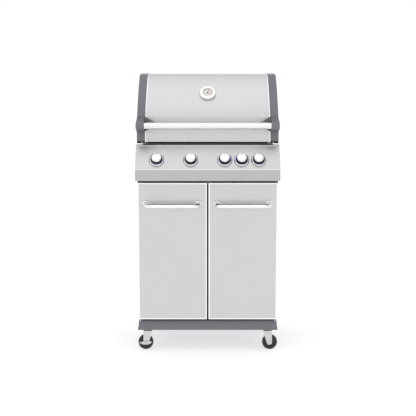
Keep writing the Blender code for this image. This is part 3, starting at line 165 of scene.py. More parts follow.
def pick(kind, test):
    """In edit mode, select the corners, edges or faces whose middle and direction pass a test."""
    bpy.ops.mesh.select_mode(type=kind)
    bpy.ops.mesh.select_all(action='DESELECT')
    mesh = bpy.context.edit_object.data
    bm = bmesh.from_edit_mesh(mesh)
    if kind == 'FACE':
        found = [f for f in bm.faces if test(f.calc_center_median(), f.normal)]
    elif kind == 'EDGE':
        found = [e for e in bm.edges
                 if test((e.verts[0].co + e.verts[1].co) / 2,
                         (e.verts[1].co - e.verts[0].co).normalized())]
    else:
        found = [v for v in bm.verts if test(v.co, v.normal)]
    for part in found:
        part.select_set(True)
    bmesh.update_edit_mesh(mesh)


def shift(x=0.0, y=0.0, z=0.0):
    bpy.ops.transform.translate(value=(x, y, z))


def pull(x=0.0, y=0.0, z=0.0):
    bpy.ops.mesh.extrude_region_move(TRANSFORM_OT_translate={"value": (x, y, z)})


def slice_at(axis, *places):
    """In edit mode, cut right through the piece at each place along an axis."""
    for place in places:
        bpy.ops.mesh.select_all(action='SELECT')
        bpy.ops.mesh.bisect(plane_co=Vector(axis) * place, plane_no=axis)


def leave(obj):
    """Merge doubles, turn the faces outwards and go back to object mode."""
    bpy.ops.mesh.select_all(action='SELECT')
    bpy.ops.mesh.remove_doubles(threshold=0.00001)
    bpy.ops.mesh.normals_make_consistent(inside=False)
    bpy.ops.object.mode_set(mode='OBJECT')
    return obj


def finish_with(obj, kind, **settings):
    """Add a modifier and apply it."""
    lone(obj)
    modifier = obj.modifiers.new(kind.lower(), kind)
    for key, value in settings.items():
        setattr(modifier, key, value)
    bpy.ops.object.modifier_apply(modifier=modifier.name)
    return obj


def ease(obj, width, segments=2, angle=30):
    """Round the sharp edges."""
    return finish_with(obj, 'BEVEL', width=width, segments=segments, limit_method='ANGLE',
                       angle_limit=math.radians(angle), use_clamp_overlap=True)


def discard(*patterns):
    for pattern in patterns:
        bpy.data.objects.remove(pattern)


def cut(obj, *tools):
    for tool in tools:
        finish_with(obj, 'BOOLEAN', operation='DIFFERENCE', solver='EXACT', object=tool)
    discard(*tools)
    return obj


def united(obj, other):
    finish_with(obj, 'BOOLEAN', operation='UNION', solver='EXACT', object=other)
    discard(other)
    return obj


def gathered(obj, *others):
    """Join loose bodies into one piece."""
    lone(obj)
    for other in others:
        other.select_set(True)
    bpy.ops.object.join()
    return obj


def grouped(name, pieces):
    """Join several small pieces into one, under a name of its own."""
    group = gathered(*pieces)
    group.name = name
    return group


def copied(obj, name, place=Matrix.Identity(4)):
    """A copy with a mesh of its own, moved by a matrix."""
    twin = obj.copy()
    twin.data = obj.data.copy()
    twin.name = name
    twin.data.name = name
    bpy.context.scene.collection.objects.link(twin)
    twin.data.transform(place)
    if place.determinant() < 0:
        twin.data.flip_normals()
    return twin


def other_hand(obj, name):
    return copied(obj, name, Matrix.Scale(-1, 4, (1, 0, 0)))


def drawn(name, points):
    """A line drawn by extruding one corner from point to point."""
    points = [Vector(point) for point in points]
    bpy.ops.mesh.primitive_plane_add(size=0.001, location=points[0])
    obj = edit(named(name))
    bpy.ops.mesh.select_mode(type='VERT')
    bpy.ops.mesh.select_all(action='SELECT')
    bpy.ops.mesh.merge(type='CENTER')
    for here, there in zip(points, points[1:]):
        pull(*(there - here))
    return obj


def slab(name, outline, start, end):
    """An outline in the YZ plane, filled and pulled from start to end along X."""
    obj = drawn(name, [(start, y, z) for y, z in outline])
    bpy.ops.mesh.select_all(action='SELECT')
    bpy.ops.mesh.edge_face_add()
    pull(end - start)
    return leave(obj)


def turned(name, profile, foot, direction, steps=48):
    """A profile of (radius, height) points spun round an axis."""
    obj = drawn(name, [(radius, 0, height) for radius, height in profile])
    bpy.ops.mesh.select_all(action='SELECT')
    bpy.ops.mesh.spin(steps=steps, angle=2 * math.pi, center=(0, 0, 0), axis=(0, 0, 1))
    leave(obj)
    obj.data.transform(Matrix.Translation(Vector(foot)) @ aim(direction).to_4x4())
    return obj


def run_of_sheet(name, section, half, thickness, outwards):
    """Sheet metal: one strip's edge extruded from bend to bend, then given its thickness."""
    bpy.ops.mesh.primitive_plane_add(size=1)
    obj = named(name)
    for vertex in obj.data.vertices:
        y, z = section[0] if vertex.co.y < 0 else section[1]
        vertex.co = (math.copysign(half, vertex.co.x), y, z)
    edit(obj)
    end = Vector((0, *section[1]))
    pick('EDGE', lambda middle, _: (middle - end).length < 1e-5)
    for (y0, z0), (y1, z1) in zip(section[1:], section[2:]):
        pull(0, y1 - y0, z1 - z0)
    leave(obj)
    facing = sum(face.normal.dot(Vector(outwards)) * face.area for face in obj.data.polygons)
    if facing < 0:
        obj.data.flip_normals()
    return finish_with(obj, 'SOLIDIFY', thickness=thickness, offset=-1, use_even_offset=True)


def bulge(a, b, rise, steps):
    """Points inside an arc from a to b that rises to the left of the line a-b."""
    a = Vector(a)
    b = Vector(b)
    chord = (b - a).length
    along = (b - a) / chord
    left = Vector((-along.y, along.x))
    radius = (chord ** 2 / 4 + rise ** 2) / (2 * rise)
    centre = (a + b) / 2 - left * (radius - rise)
    half = math.asin(chord / 2 / radius)
    turns = [half * (2 * i / steps - 1) for i in range(1, steps)]
    return [tuple(centre + radius * (along * math.sin(t) + left * math.cos(t))) for t in turns]


def rounded(corners, steps=6):
    """Outline through (u, v, radius) corners; radius 0 leaves a corner as it is."""
    points = []
    for i, (u, v, radius) in enumerate(corners):
        here = Vector((u, v))
        if radius == 0:
            points.append((u, v))
            continue
        to_last = Vector(corners[i - 1][:2]) - here
        to_next = Vector(corners[(i + 1) % len(corners)][:2]) - here
        angle = to_last.angle(to_next)
        back = min(radius / math.tan(angle / 2), 0.48 * to_last.length, 0.48 * to_next.length)
        radius = back * math.tan(angle / 2)
        to_last.normalize()
        to_next.normalize()
        centre = here + (to_last + to_next).normalized() * (radius / math.sin(angle / 2))
        start = here + to_last * back - centre
        sweep = start.angle_signed(here + to_next * back - centre)
        for step in range(steps + 1):
            spot = start.copy()
            spot.rotate(Matrix.Rotation(-sweep * step / steps, 2))
            points.append(tuple(centre + spot))
    return points


# ---------------------------------------------------------------- finishes


def effect(name, inputs, outputs):
    """An empty shader node group with float or vector sockets."""
    tree = bpy.data.node_groups.new(name, 'ShaderNodeTree')
    for label, kind, value in inputs:
        socket = tree.interface.new_socket(label, in_out='INPUT', socket_type=kind)
        if value is not None:
            socket.default_value = value
    for label, kind in outputs:
        tree.interface.new_socket(label, in_out='OUTPUT', socket_type=kind)
    return tree, tree.nodes.new('NodeGroupInput'), tree.nodes.new('NodeGroupOutput')


def wired(tree, kind, links=(), **settings):
    """Add a node, set its properties and link sockets into its inputs."""
    node = tree.nodes.new(kind)
    for key, value in settings.items():
        if key.startswith("in_"):
            node.inputs[key[3:].replace("_", " ")].default_value = value
        else:
            setattr(node, key, value)
    for source, target in links:
        tree.links.new(source, node.inputs[target])
    return node


def grain_effect():
    """Fine surface pattern: stretched for brushing, even for powder coat and castings."""
    tree, given, out = effect(
        "surface grain",
        [("Vector", 'NodeSocketVector', None), ("Fineness", 'NodeSocketVector', (900, 900, 900)),
         ("Shade", 'NodeSocketFloat', 0.05), ("Base Roughness", 'NodeSocketFloat', 0.3),
         ("Roughness Spread", 'NodeSocketFloat', 0.08)],
        [("Shade", 'NodeSocketFloat'), ("Roughness", 'NodeSocketFloat'), ("Height", 'NodeSocketFloat')])
    scaled = wired(tree, 'ShaderNodeVectorMath',
                   [(given.outputs["Vector"], 0), (given.outputs["Fineness"], 1)], operation='MULTIPLY')
    noise = wired(tree, 'ShaderNodeTexNoise', [(scaled.outputs[0], "Vector")],
                  in_Scale=1.0, in_Detail=3.0, in_Roughness=0.6)
    middle = wired(tree, 'ShaderNodeMath', [(noise.outputs["Fac"], 0)], operation='SUBTRACT')
    middle.inputs[1].default_value = 0.5
    tone = wired(tree, 'ShaderNodeMath', [(middle.outputs[0], 0), (given.outputs["Shade"], 1)],
                 operation='MULTIPLY')
    shade = wired(tree, 'ShaderNodeMath', [(tone.outputs[0], 0)], operation='ADD')
    shade.inputs[1].default_value = 1.0
    spread = wired(tree, 'ShaderNodeMath',
                   [(middle.outputs[0], 0), (given.outputs["Roughness Spread"], 1),
                    (given.outputs["Base Roughness"], 2)], operation='MULTIPLY_ADD')
    tree.links.new(shade.outputs[0], out.inputs["Shade"])
    tree.links.new(spread.outputs[0], out.inputs["Roughness"])
    tree.links.new(noise.outputs["Fac"], out.inputs["Height"])
    return tree


def handling_effect():
    """Large soft patches left by hands, wiping and weather."""
    tree, given, out = effect(
        "handling marks",
        [("Vector", 'NodeSocketVector', None), ("Size", 'NodeSocketFloat', 6.0),
         ("Amount", 'NodeSocketFloat', 0.05)],
        [("Shade", 'NodeSocketFloat'), ("Roughness", 'NodeSocketFloat')])
    noise = wired(tree, 'ShaderNodeTexNoise',
                  [(given.outputs["Vector"], "Vector"), (given.outputs["Size"], "Scale")],
                  in_Detail=5.0, in_Roughness=0.62, in_Distortion=0.6)
    middle = wired(tree, 'ShaderNodeMath', [(noise.outputs["Fac"], 0)], operation='SUBTRACT')
    middle.inputs[1].default_value = 0.5
    amount = wired(tree, 'ShaderNodeMath', [(middle.outputs[0], 0), (given.outputs["Amount"], 1)],
                   operation='MULTIPLY')
    shade = wired(tree, 'ShaderNodeMath', [(amount.outputs[0], 1)], operation='SUBTRACT')
    shade.inputs[0].default_value = 1.0
    tree.links.new(shade.outputs[0], out.inputs["Shade"])
    tree.links.new(amount.outputs[0], out.inputs["Roughness"])
    return tree


EFFECTS = {"grain": grain_effect(), "handling": handling_effect()}


def finish(name, colour, metallic, roughness, fineness, shade=0.06, spread=0.08, relief=0.0,
           marks=0.06, mark_size=6.0, **sockets):
    """A procedural finish; colour is linear RGB, fineness the pattern's cycles per metre."""
    material = bpy.data.materials.new(name)
    material.use_nodes = True
    tree = material.node_tree
    shader = tree.nodes["Principled BSDF"]
    where = tree.nodes.new('ShaderNodeTexCoord').outputs["Object"]
    grain = wired(tree, 'ShaderNodeGroup', node_tree=EFFECTS["grain"])
    handling = wired(tree, 'ShaderNodeGroup', node_tree=EFFECTS["handling"])
    tree.links.new(where, grain.inputs["Vector"])
    tree.links.new(where, handling.inputs["Vector"])
    grain.inputs["Fineness"].default_value = fineness
    grain.inputs["Shade"].default_value = shade
    grain.inputs["Base Roughness"].default_value = roughness
    grain.inputs["Roughness Spread"].default_value = spread
    handling.inputs["Size"].default_value = mark_size
    handling.inputs["Amount"].default_value = marks
    tone = wired(tree, 'ShaderNodeMath', [(grain.outputs["Shade"], 0), (handling.outputs["Shade"], 1)],
                 operation='MULTIPLY')
    tint = wired(tree, 'ShaderNodeVectorMath', [(tone.outputs[0], 1)], operation='MULTIPLY')
    tint.inputs[0].default_value = colour
    tree.links.new(tint.outputs[0], shader.inputs["Base Color"])
    rough = wired(tree, 'ShaderNodeMath',
                  [(grain.outputs["Roughness"], 0), (handling.outputs["Roughness"], 1)],
                  operation='ADD', use_clamp=True)
    tree.links.new(rough.outputs[0], shader.inputs["Roughness"])
    shader.inputs["Metallic"].default_value = metallic
    if relief:
        bump = wired(tree, 'ShaderNodeBump', [(grain.outputs["Height"], "Height")],
                     in_Distance=relief, in_Strength=1.0)
        tree.links.new(bump.outputs["Normal"], shader.inputs["Normal"])
    for label, value in sockets.items():
        shader.inputs[label.replace("_", " ")].default_value = value
    return material


ALONG_X = (14, 900, 900)
ALONG_Z = (900, 900, 14)
BRUSHED = {"shade": 0.08, "spread": 0.12, "relief": 0.00003}
PLATED = {"shade": 0.02, "spread": 0.04, "marks": 0.04, "mark_size": 25}
COATED = {"shade": 0.16, "spread": 0.12, "relief": 0.00008, "marks": 0.10}
FINISHES = {
    "hood_stainless": finish("brushed stainless, grain across", (0.585, 0.585, 0.59), 1.0, 0.33, ALONG_X,
                             shade=0.10, spread=0.12, relief=0.00003),
    "door_stainless": finish("brushed stainless, grain upright", (0.61, 0.61, 0.622), 1.0, 0.36, ALONG_Z,
                             **BRUSHED),
    # painted shade: a darker copy of the brushed stainless for the lower fascia, standing in for the darker
    # floor it reflects
    "fascia_painted_shade_stainless": finish("brushed stainless, painted shade on the lower fascia", (0.48, 0.48, 0.485), 1.0, 0.36,
                               ALONG_X, **BRUSHED),
    # painted highlight: a lighter copy of the stainless laid on folds and bends, standing in for the bright
    # lines they reflect
    "painted_highlight_fold": finish("rolled fold, painted highlight", (0.93, 0.93, 0.935), 1.0, 0.34, (300, 300, 300), shade=0.04,
                          spread=0.08),
    "tube_stainless": finish("polished stainless tube", (0.80, 0.79, 0.785), 1.0, 0.20, ALONG_X,
                             shade=0.05, spread=0.10),
    "chrome": finish("chrome plate", (0.86, 0.86, 0.86), 1.0, 0.09, (60, 60, 60), **PLATED),
    "satin_chrome": finish("satin chrome", (0.86, 0.86, 0.865), 1.0, 0.30, (700, 700, 700), shade=0.03,
                           spread=0.06),
    "bezel_chrome": finish("bezel chrome", (0.74, 0.74, 0.75), 1.0, 0.14, (60, 60, 60), **PLATED),
    "grey_coat": finish("slate grey powder coat", (0.148, 0.156, 0.178), 0.0, 0.38, (1100, 1100, 1100),
                        **COATED),
    # painted shade: a darker copy of the slate grey coat for the sunk flute faces
    "flute_painted_shade_coat": finish("slate grey coat, painted shade in the flutes", (0.105, 0.110, 0.122), 0.0, 0.45,
                         (1100, 1100, 1100), **COATED),
    "zinc": finish("bright zinc", (0.60, 0.60, 0.61), 1.0, 0.20, (120, 120, 120), shade=0.12, spread=0.10,
                   marks=0.2, mark_size=40),
    "black_coat": finish("charcoal powder coat", (0.032, 0.033, 0.034), 0.0, 0.46, (1300, 1300, 1300),
                         shade=0.25, spread=0.12, relief=0.00008, marks=0.15),
    "recess_coat": finish("dark recess coat", (0.045, 0.047, 0.050), 0.0, 0.45, (1100, 1100, 1100),
                          shade=0.2, spread=0.12, relief=0.00008),
    "enamel": finish("black enamel", (0.020, 0.020, 0.021), 0.0, 0.28, (160, 160, 160), shade=0.20,
                     spread=0.16, relief=0.00010, marks=0.25, mark_size=9, Coat_Weight=0.4,
                     Coat_Roughness=0.12),
    "cast_iron": finish("enamelled cast iron", (0.018, 0.018, 0.018), 0.0, 0.55, (520, 520, 520),
                        shade=0.35, spread=0.22, relief=0.00030, marks=0.3, mark_size=14),
    "burner_steel": finish("heat-tinted burner steel", (0.46, 0.43, 0.38), 1.0, 0.40, (300, 60, 300),
                           shade=0.30, spread=0.16, marks=0.5, mark_size=10),
    "brass": finish("turned brass", (0.62, 0.43, 0.17), 1.0, 0.32, (900, 900, 900), shade=0.12, spread=0.1),
    "rubber": finish("black rubber", (0.014, 0.014, 0.014), 0.0, 0.75, (700, 700, 700), shade=0.3,
                     spread=0.12, relief=0.00010),
    "tread": finish("black caster tread", (0.016, 0.016, 0.017), 0.0, 0.50, (500, 500, 500), shade=0.3,
                    spread=0.2, relief=0.00010, marks=0.4, mark_size=30),
    "black_moulding": finish("black moulding", (0.010, 0.010, 0.010), 0.0, 0.35, (1500, 1500, 1500),
                             shade=0.2, spread=0.10, relief=0.00005),
    "dial": finish("dial card", (0.90, 0.89, 0.85), 0.0, 0.45, (400, 400, 400), shade=0.04, spread=0.05),
    "ink": finish("dial ink", (0.03, 0.03, 0.03), 0.0, 0.5, (400, 400, 400), shade=0.1, spread=0.05),
    "red": finish("red lacquer", (0.62, 0.06, 0.03), 0.0, 0.35, (300, 300, 300), shade=0.1, spread=0.05),
    "blue_light": finish("blue light ring", (0.02, 0.10, 0.45), 0.0, 0.3, (300, 300, 300), shade=0.1,
                         spread=0.05, Emission_Color=(0.015, 0.10, 0.55, 1), Emission_Strength=0.6),
    "lens": finish("clear glass", (1.0, 1.0, 1.0), 0.0, 0.03, (30, 30, 30), shade=0.0, spread=0.01,
                   marks=0.0, Transmission_Weight=1.0, IOR=1.2),
}


def dressed(obj, body, finish_name, slot, *nodes):
    """Shade a finished piece, give it its finish and tie it to the frame."""
    lone(obj)
    bpy.ops.object.shade_smooth_by_angle(angle=math.radians(38))
    finish_with(obj, 'WEIGHTED_NORMAL', keep_sharp=True, weight=50)
    obj.data.materials.clear()
    obj.data.materials.append(FINISHES[finish_name])
    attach(obj, body)
    if nodes:
        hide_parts(*nodes)
    return obj


def also(obj, finish_name, test):
    """Give the faces that pass a test a second finish."""
    obj.data.materials.append(FINISHES[finish_name])
    for face in obj.data.polygons:
        if test(face.center, face.normal):
            face.material_index = len(obj.data.materials) - 1


def both_hands(piece, word, body, finish_name, slot, node=None):
    """Dress a right-hand piece and its mirrored left-hand twin."""
    left = other_hand(piece, "left_" + word)
    for obj, side in ((piece, "right"), (left, "left")):
        nodes = [node.format(side)] if node else []
        dressed(obj, body.format(side), finish_name, slot, *nodes)
    return piece, left


# ---------------------------------------------------------------- cabinet


def side_panels():
    """Perforated side panels with softened edges and hole rims."""
    low = (HALF - SHEET, CABINET_FRONT, BASE_TOP)
    panel = block("right_panel_sheet", low, (HALF, CABINET_BACK, CABINET_TOP))
    punch = rod("punch", 0.0045, (HALF - 0.01, 0, 0), (HALF + 0.01, 0, 0), 16)
    columns, rows, pitch_y, pitch_z = 14, 5, 0.0225, 0.025
    middle = (CABINET_FRONT + CABINET_BACK) / 2
    first = Vector((0, middle - (columns - 1) / 2 * pitch_y, BASE_TOP + 0.038))
    punch.data.transform(Matrix.Translation(first))
    finish_with(punch, 'ARRAY', count=columns, use_relative_offset=False, use_constant_offset=True,
                constant_offset_displace=(0, pitch_y, 0))
    finish_with(punch, 'ARRAY', count=rows, use_relative_offset=False, use_constant_offset=True,
                constant_offset_displace=(0, 0, pitch_z))
    climb = CABINET_TOP - 0.033 - (rows - 1) * pitch_z - first.z
    upper = copied(punch, "upper_punch", Matrix.Translation((0, 0, climb)))
    cut(panel, punch, upper)
    ease(panel, 0.0003, 1, 60)
    both_hands(panel, "panel_sheet", "root", "black_coat", "black_paint", "{}_side_panel")


def panel_screws():
    """Pan-head screws that hold the side panels."""
    screw = turned("screw", [(0, 0.0020), (0.0016, 0.0019), (0.0029, 0.0012), (0.0034, 0), (0, 0)],
                   (HALF, 0, 0), (1, 0, 0), 20)
    spots = [(y, z) for y in (CABINET_FRONT + 0.010, CABINET_BACK - 0.010)
             for z in (BASE_TOP + 0.014, (BASE_TOP + CABINET_TOP) / 2, CABINET_TOP - 0.012)]
    screws = [copied(screw, f"screw_{i}", Matrix.Translation((0, y, z))) for i, (y, z) in enumerate(spots)]
    discard(screw)
    group = grouped("right_panel_screws", screws)
    both_hands(group, "panel_screws", "root", "black_moulding", "black_paint")


def doors():
    """Folded door pans, open behind, with rounded front folds."""
    fold = 0.0049
    low = Vector((0.0035, DOOR_FACE, DOOR_BOTTOM))
    high = Vector((HALF - 0.0003, DOOR_BACK, DOOR_TOP))
    door = edit(block("right_door_pan", low, high))
    pick('FACE', lambda _, normal: normal.y > 0.9)
    bpy.ops.mesh.inset(thickness=0.011)
    bpy.ops.mesh.inset(thickness=0.0001)
    pull(0, DOOR_FACE + SHEET - DOOR_BACK, 0)
    pick('FACE', lambda at, normal: normal.y < -0.9 and at.y < DOOR_FACE + 0.001)
    bpy.ops.mesh.inset(thickness=0.0050)
    leave(door)
    ease(door, 0.0016, 3, 60)
    hinge = Vector(JOINTS["right_door_hinge"]["pos_m"])
    ends = ((DOOR_TOP - 0.001, CABINET_TOP - 0.0007), (BASE_TOP - 0.007, DOOR_BOTTOM + 0.001))
    pins = [rod("pin", 0.0025, (hinge.x, hinge.y, start), (hinge.x, hinge.y, end)) for start, end in ends]
    gathered(door, *pins)
    for pan in both_hands(door, "door_pan", "{}_door", "door_stainless", "stainless_sheet", "{}_door"):
        # painted highlight: the rounded folds round each door's face take the lighter fold finish
        also(pan, "painted_highlight_fold", lambda at, normal: normal.y < -0.15 and at.y < DOOR_FACE + 0.003
             and not (low.x + fold < abs(at.x) < high.x - fold and low.z + fold < at.z < high.z - fold))


def door_handles():
    """Round bar bent into two posts: a disc extruded out, spun round each bend and back."""
    low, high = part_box("right_door_handle")
    middle = (low.x + high.x) / 2
    radius, bend, reach = 0.009, 0.022, 0.111
    face = DOOR_FACE - 0.0003
    bar_y = low.y + radius
    flange_z = DOOR_TOP - 0.0855
    bpy.ops.mesh.primitive_circle_add(vertices=24, radius=radius, fill_type='NGON',
                                      location=(middle + reach, face, flange_z),
                                      rotation=(math.radians(90), 0, 0))
    bar = edit(named("right_door_handle_bar"))
    bpy.ops.mesh.select_mode(type='FACE')
    bpy.ops.mesh.select_all(action='SELECT')
    pull(0, bar_y + bend - face, 0)
    bpy.ops.mesh.spin(steps=10, angle=math.pi / 2, center=(middle + reach - bend, bar_y + bend, flange_z),
                      axis=(0, 0, 1))
    pull(-2 * (reach - bend), 0, 0)
    bpy.ops.mesh.spin(steps=10, angle=math.pi / 2, center=(middle - reach + bend, bar_y + bend, flange_z),
                      axis=(0, 0, 1))
    pull(0, face - bar_y - bend, 0)
    leave(bar)
    drop = 0.008 / (face - bar_y)
    for vertex in bar.data.vertices:
        vertex.co.z -= drop * max(0.0, face - 0.004 - vertex.co.y)
    for end in (-1, 1):
        flange = turned("flange", [(0, 0.0055), (0.0098, 0.0055), (0.0122, 0.0042), (0.0135, 0.0020),
                                   (0.0135, 0), (0, 0)],
                        (middle + end * reach, face, flange_z), (0, -1, 0), 36)
        gathered(bar, flange)
    both_hands(bar, "door_handle_bar", "{}_door", "chrome", "chrome_plate", "{}_door_handle")


def base_pan():
    """Deep pan whose skirts flare towards the floor."""
    low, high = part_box("base_pan")
    bottom = low.z + 0.0035
    ledge = 0.008
    pan = edit(block("base_pan_shell", (-HALF, CABINET_FRONT - ledge, bottom),
                     (HALF, CABINET_BACK + ledge, high.z)))
    pick('FACE', lambda _, normal: normal.z < -0.9)
    bpy.ops.mesh.delete(type='FACE')
    for side in (-1, 1):
        pick('VERT', lambda at, _: at.z < bottom + 0.001 and at.x * side > 0)
        shift(side * (high.x - HALF), 0, 0)
        pick('VERT', lambda at, _: at.z < bottom + 0.001 and (at.y - 0.02) * side > 0)
        shift(0, side * 0.025, 0)
    leave(pan)
    ease(pan, 0.0025, 3, 20)
    finish_with(pan, 'SOLIDIFY', thickness=0.002, offset=-1, use_even_offset=True)
    ease(pan, 0.0005, 1, 60)
    floor = block("floor", (-HALF + FLOOR_MARGIN, CABINET_FRONT + FLOOR_MARGIN, BASE_TOP - 0.001),
                  (HALF - FLOOR_MARGIN, CABINET_BACK - FLOOR_MARGIN, BASE_TOP + FLOOR_RISE))
    ease(floor, 0.0006, 3)
    gathered(pan, floor)
    dressed(pan, "root", "grey_coat", "grey_casting", "base_pan")
    pad_line = [(0.006, 0.0060), (0.031, 0.0060), (0.0335, 0.0045), (0.0335, 0.0012), (0.032, 0),
                (0.006, 0), (0.006, 0.0060)]
    for name in CASTER_TURNS:
        x, y, _ = JOINTS[name + "_swivel"]["pos_m"]
        pad = turned(name + "_mounting_pad", pad_line, (x, y, low.z), (0, 0, 1), 40)
        dressed(pad, "root", "black_moulding", "black_paint")


# ---------------------------------------------------------------- casters


def caster_fork():
    """Fork bent from plate, with its swivel race, axle bolt and nut; it trails towards +X."""
    race = turned("race", [(0, RACE_TOP + 0.016), (0.005, RACE_TOP + 0.016), (0.005, RACE_TOP),
                           (0.0215, RACE_TOP), (0.023, RACE_TOP - 0.0014), (0.023, RACE_TOP - 0.0034),
                           (0.0205, RACE_TOP - 0.0046), (0.0190, RACE_TOP - 0.0052),
                           (0.0190, RACE_TOP - 0.0062), (0, RACE_TOP - 0.0062)],
                  (0, 0, 0), (0, 0, 1), 40)
    crown = RACE_TOP - 0.0056
    leg_foot = WHEEL_RADIUS - 0.0095
    leg_line = rounded([(-0.0185, crown, 0.003), (-0.0165, 0.070, 0.004), (TRAIL - 0.0098, leg_foot, 0.0095),
                        (TRAIL + 0.0098, leg_foot, 0.0095), (0.0185, 0.070, 0.004),
                        (0.0185, crown, 0.003)], 8)
    fork = slab("fork", leg_line, -FORK_OUTER, FORK_OUTER)
    gap = block("gap", (-FORK_INNER, -0.04, 0.01), (FORK_INNER, 0.05, crown - 0.0045))
    cut(fork, gap)
    ease(fork, 0.0011, 3, 50)
    fork.data.transform(Matrix.Rotation(-math.pi / 2, 4, 'Z'))
    shank_end = -2 * FORK_OUTER - 0.003
    bolt = turned("bolt", [(0, 0.0080), (0.0030, 0.0078), (0.0052, 0.0062), (0.0060, 0.0035), (0.0060, 0.0),
                           (0.0040, 0.0), (0.0040, shank_end), (0, shank_end)],
                  (TRAIL, -FORK_OUTER + 0.0002, WHEEL_RADIUS), (0, -1, 0), 28)
    nut = rod("nut", 0.0065, (TRAIL, FORK_OUTER - 0.0002, WHEEL_RADIUS),
              (TRAIL, FORK_OUTER + 0.0045, WHEEL_RADIUS), 6)
    ease(nut, 0.0006, 2)
    return gathered(fork, race, bolt, nut)


def caster_wheel():
    """Moulded wheel with a hub, a dished web and a rounded tread."""
    half = WHEEL_WIDTH / 2
    bore, hub, rim, dish = 0.0045, 0.0105, 0.0225, 0.0022
    profile = [(bore, half + 0.0008), (0.0078, half + 0.0008), (hub, half - 0.0004),
               (hub + 0.0012, half - dish), (rim - 0.0012, half - dish), (rim, half - 0.0002),
               (WHEEL_RADIUS - 0.0058, half), (WHEEL_RADIUS - 0.0022, half - 0.0022),
               (WHEEL_RADIUS - 0.0006, half - 0.0058), (WHEEL_RADIUS, half - 0.0095)]
    profile += [(r, -h) for r, h in reversed(profile)]
    return turned("wheel", profile + [profile[0]], (TRAIL, 0, WHEEL_RADIUS), (0, 1, 0), 56)


def brake_lever():
    """Bow-shaped lever outside the fork's leg, with a toe plate."""
    near = FORK_OUTER + 0.0026
    bow = rounded([(TRAIL + along, WHEEL_RADIUS + up, radius) for along, up, radius in (
        (-0.0255, 0.0065, 0.001), (-0.0235, -0.0020, 0.004), (-0.0100, -0.0085, 0.008),
        (0.0100, -0.0085, 0.008), (0.0255, -0.0025, 0.004), (0.0285, 0.0035, 0.001),
        (0.0120, 0.0055, 0.006), (0.0, 0.0085, 0.008), (-0.0120, 0.0055, 0.006))], 5)
    lever = slab("lever", bow, near - 0.0018, near)
    toe = block("toe", (near - 0.001, TRAIL + 0.016, WHEEL_RADIUS + 0.0005),
                (near + 0.0095, TRAIL + 0.0275, WHEEL_RADIUS + 0.0027))
    united(lever, toe)
    ease(lever, 0.0005, 2)
    lever.data.transform(Matrix.Rotation(-math.pi / 2, 4, 'Z'))
    return lever


def casters():
    """Bright forks, black wheels and, in front, brake levers on the forks' local +Y side."""
    fork = caster_fork()
    wheel = caster_wheel()
    lever = brake_lever()
    swap_sides = Matrix.Scale(-1, 4, (0, 1, 0))
    for name, turn in CASTER_TURNS.items():
        x, y, _ = JOINTS[name + "_swivel"]["pos_m"]
        place = Matrix.Translation((x, y, 0)) @ Matrix.Rotation(turn, 4, 'Z')
        pressing = copied(fork, name + "_fork_pressing", place @ swap_sides)
        dressed(pressing, name + "_caster", "zinc", "chrome_plate", name + "_caster_fork")
        also(pressing, "black_moulding", lambda at, normal: at.z > RACE_TOP - 0.0050)
        dressed(copied(wheel, name + "_wheel_moulding", place), name + "_wheel", "tread", "wheel_black",
                name + "_caster_wheel")
        if name.startswith("front"):
            toe_lever = copied(lever, name + "_toe_lever", place @ swap_sides)
            dressed(toe_lever, name + "_brake", "zinc", "chrome_plate", name + "_brake_lever")
    discard(fork, wheel, lever)


# ---------------------------------------------------------------- control panel


def on_slope(x, up, out):
    crease = Vector((x, FASCIA_FRONT, CREASE))
    return crease + UP_SLOPE * up + OFF_SLOPE * out


def control_panel():
    """One sheet folded into fascia, slope and lip, with end plates."""
    top_y, top_z = FASCIA_FRONT + SLOPE_RUN, CREASE + SLOPE_RISE
    section = [(FASCIA_FRONT + 0.015, FASCIA_LOW.z), (FASCIA_FRONT + 0.0004, FASCIA_LOW.z),
               (FASCIA_FRONT, CREASE), (top_y, top_z), (top_y + 0.0035, top_z + 0.0080),
               (FASCIA_HIGH.y, FASCIA_HIGH.z)]
    panel = run_of_sheet("control_panel_sheet", section, PANEL_HALF - 0.0004, SHEET, (0, -1, 0.3))
    ease(panel, 0.0016, 4, 18)
    end_back = DOOR_FACE - SHEET
    end_top = CREASE + SLOPE_RISE * (end_back - FASCIA_FRONT) / SLOPE_RUN
    end_line = [(FASCIA_FRONT + 0.0012, FASCIA_LOW.z), (end_back, FASCIA_LOW.z),
                (end_back, end_top - 0.0008), (FASCIA_FRONT + 0.0012, CREASE - 0.0008)]
    for end in (-1, 1):
        gathered(panel, slab("end", end_line, end * (PANEL_HALF - SHEET), end * PANEL_HALF))
    holes = [rod("hole", 0.006, *(on_slope(x, KNOB_UP_SLOPE, out) for out in (-0.01, 0.01)), 24)
             for x in KNOB_X]
    cut(panel, *holes)
    dressed(panel, "root", "hood_stainless", "stainless_sheet", "control_panel")
    # painted shade: the fascia faces get the darker copy of the stainless, for the floor reflection that
    # darkens them
    also(panel, "fascia_painted_shade_stainless", lambda at, normal: at.z < CREASE and abs(normal.x) < 0.3)
    # painted highlight along the crease between fascia and slope
    also(panel, "painted_highlight_fold", lambda at, normal: abs(at.z - CREASE) < 0.0012 and abs(normal.x) < 0.3)


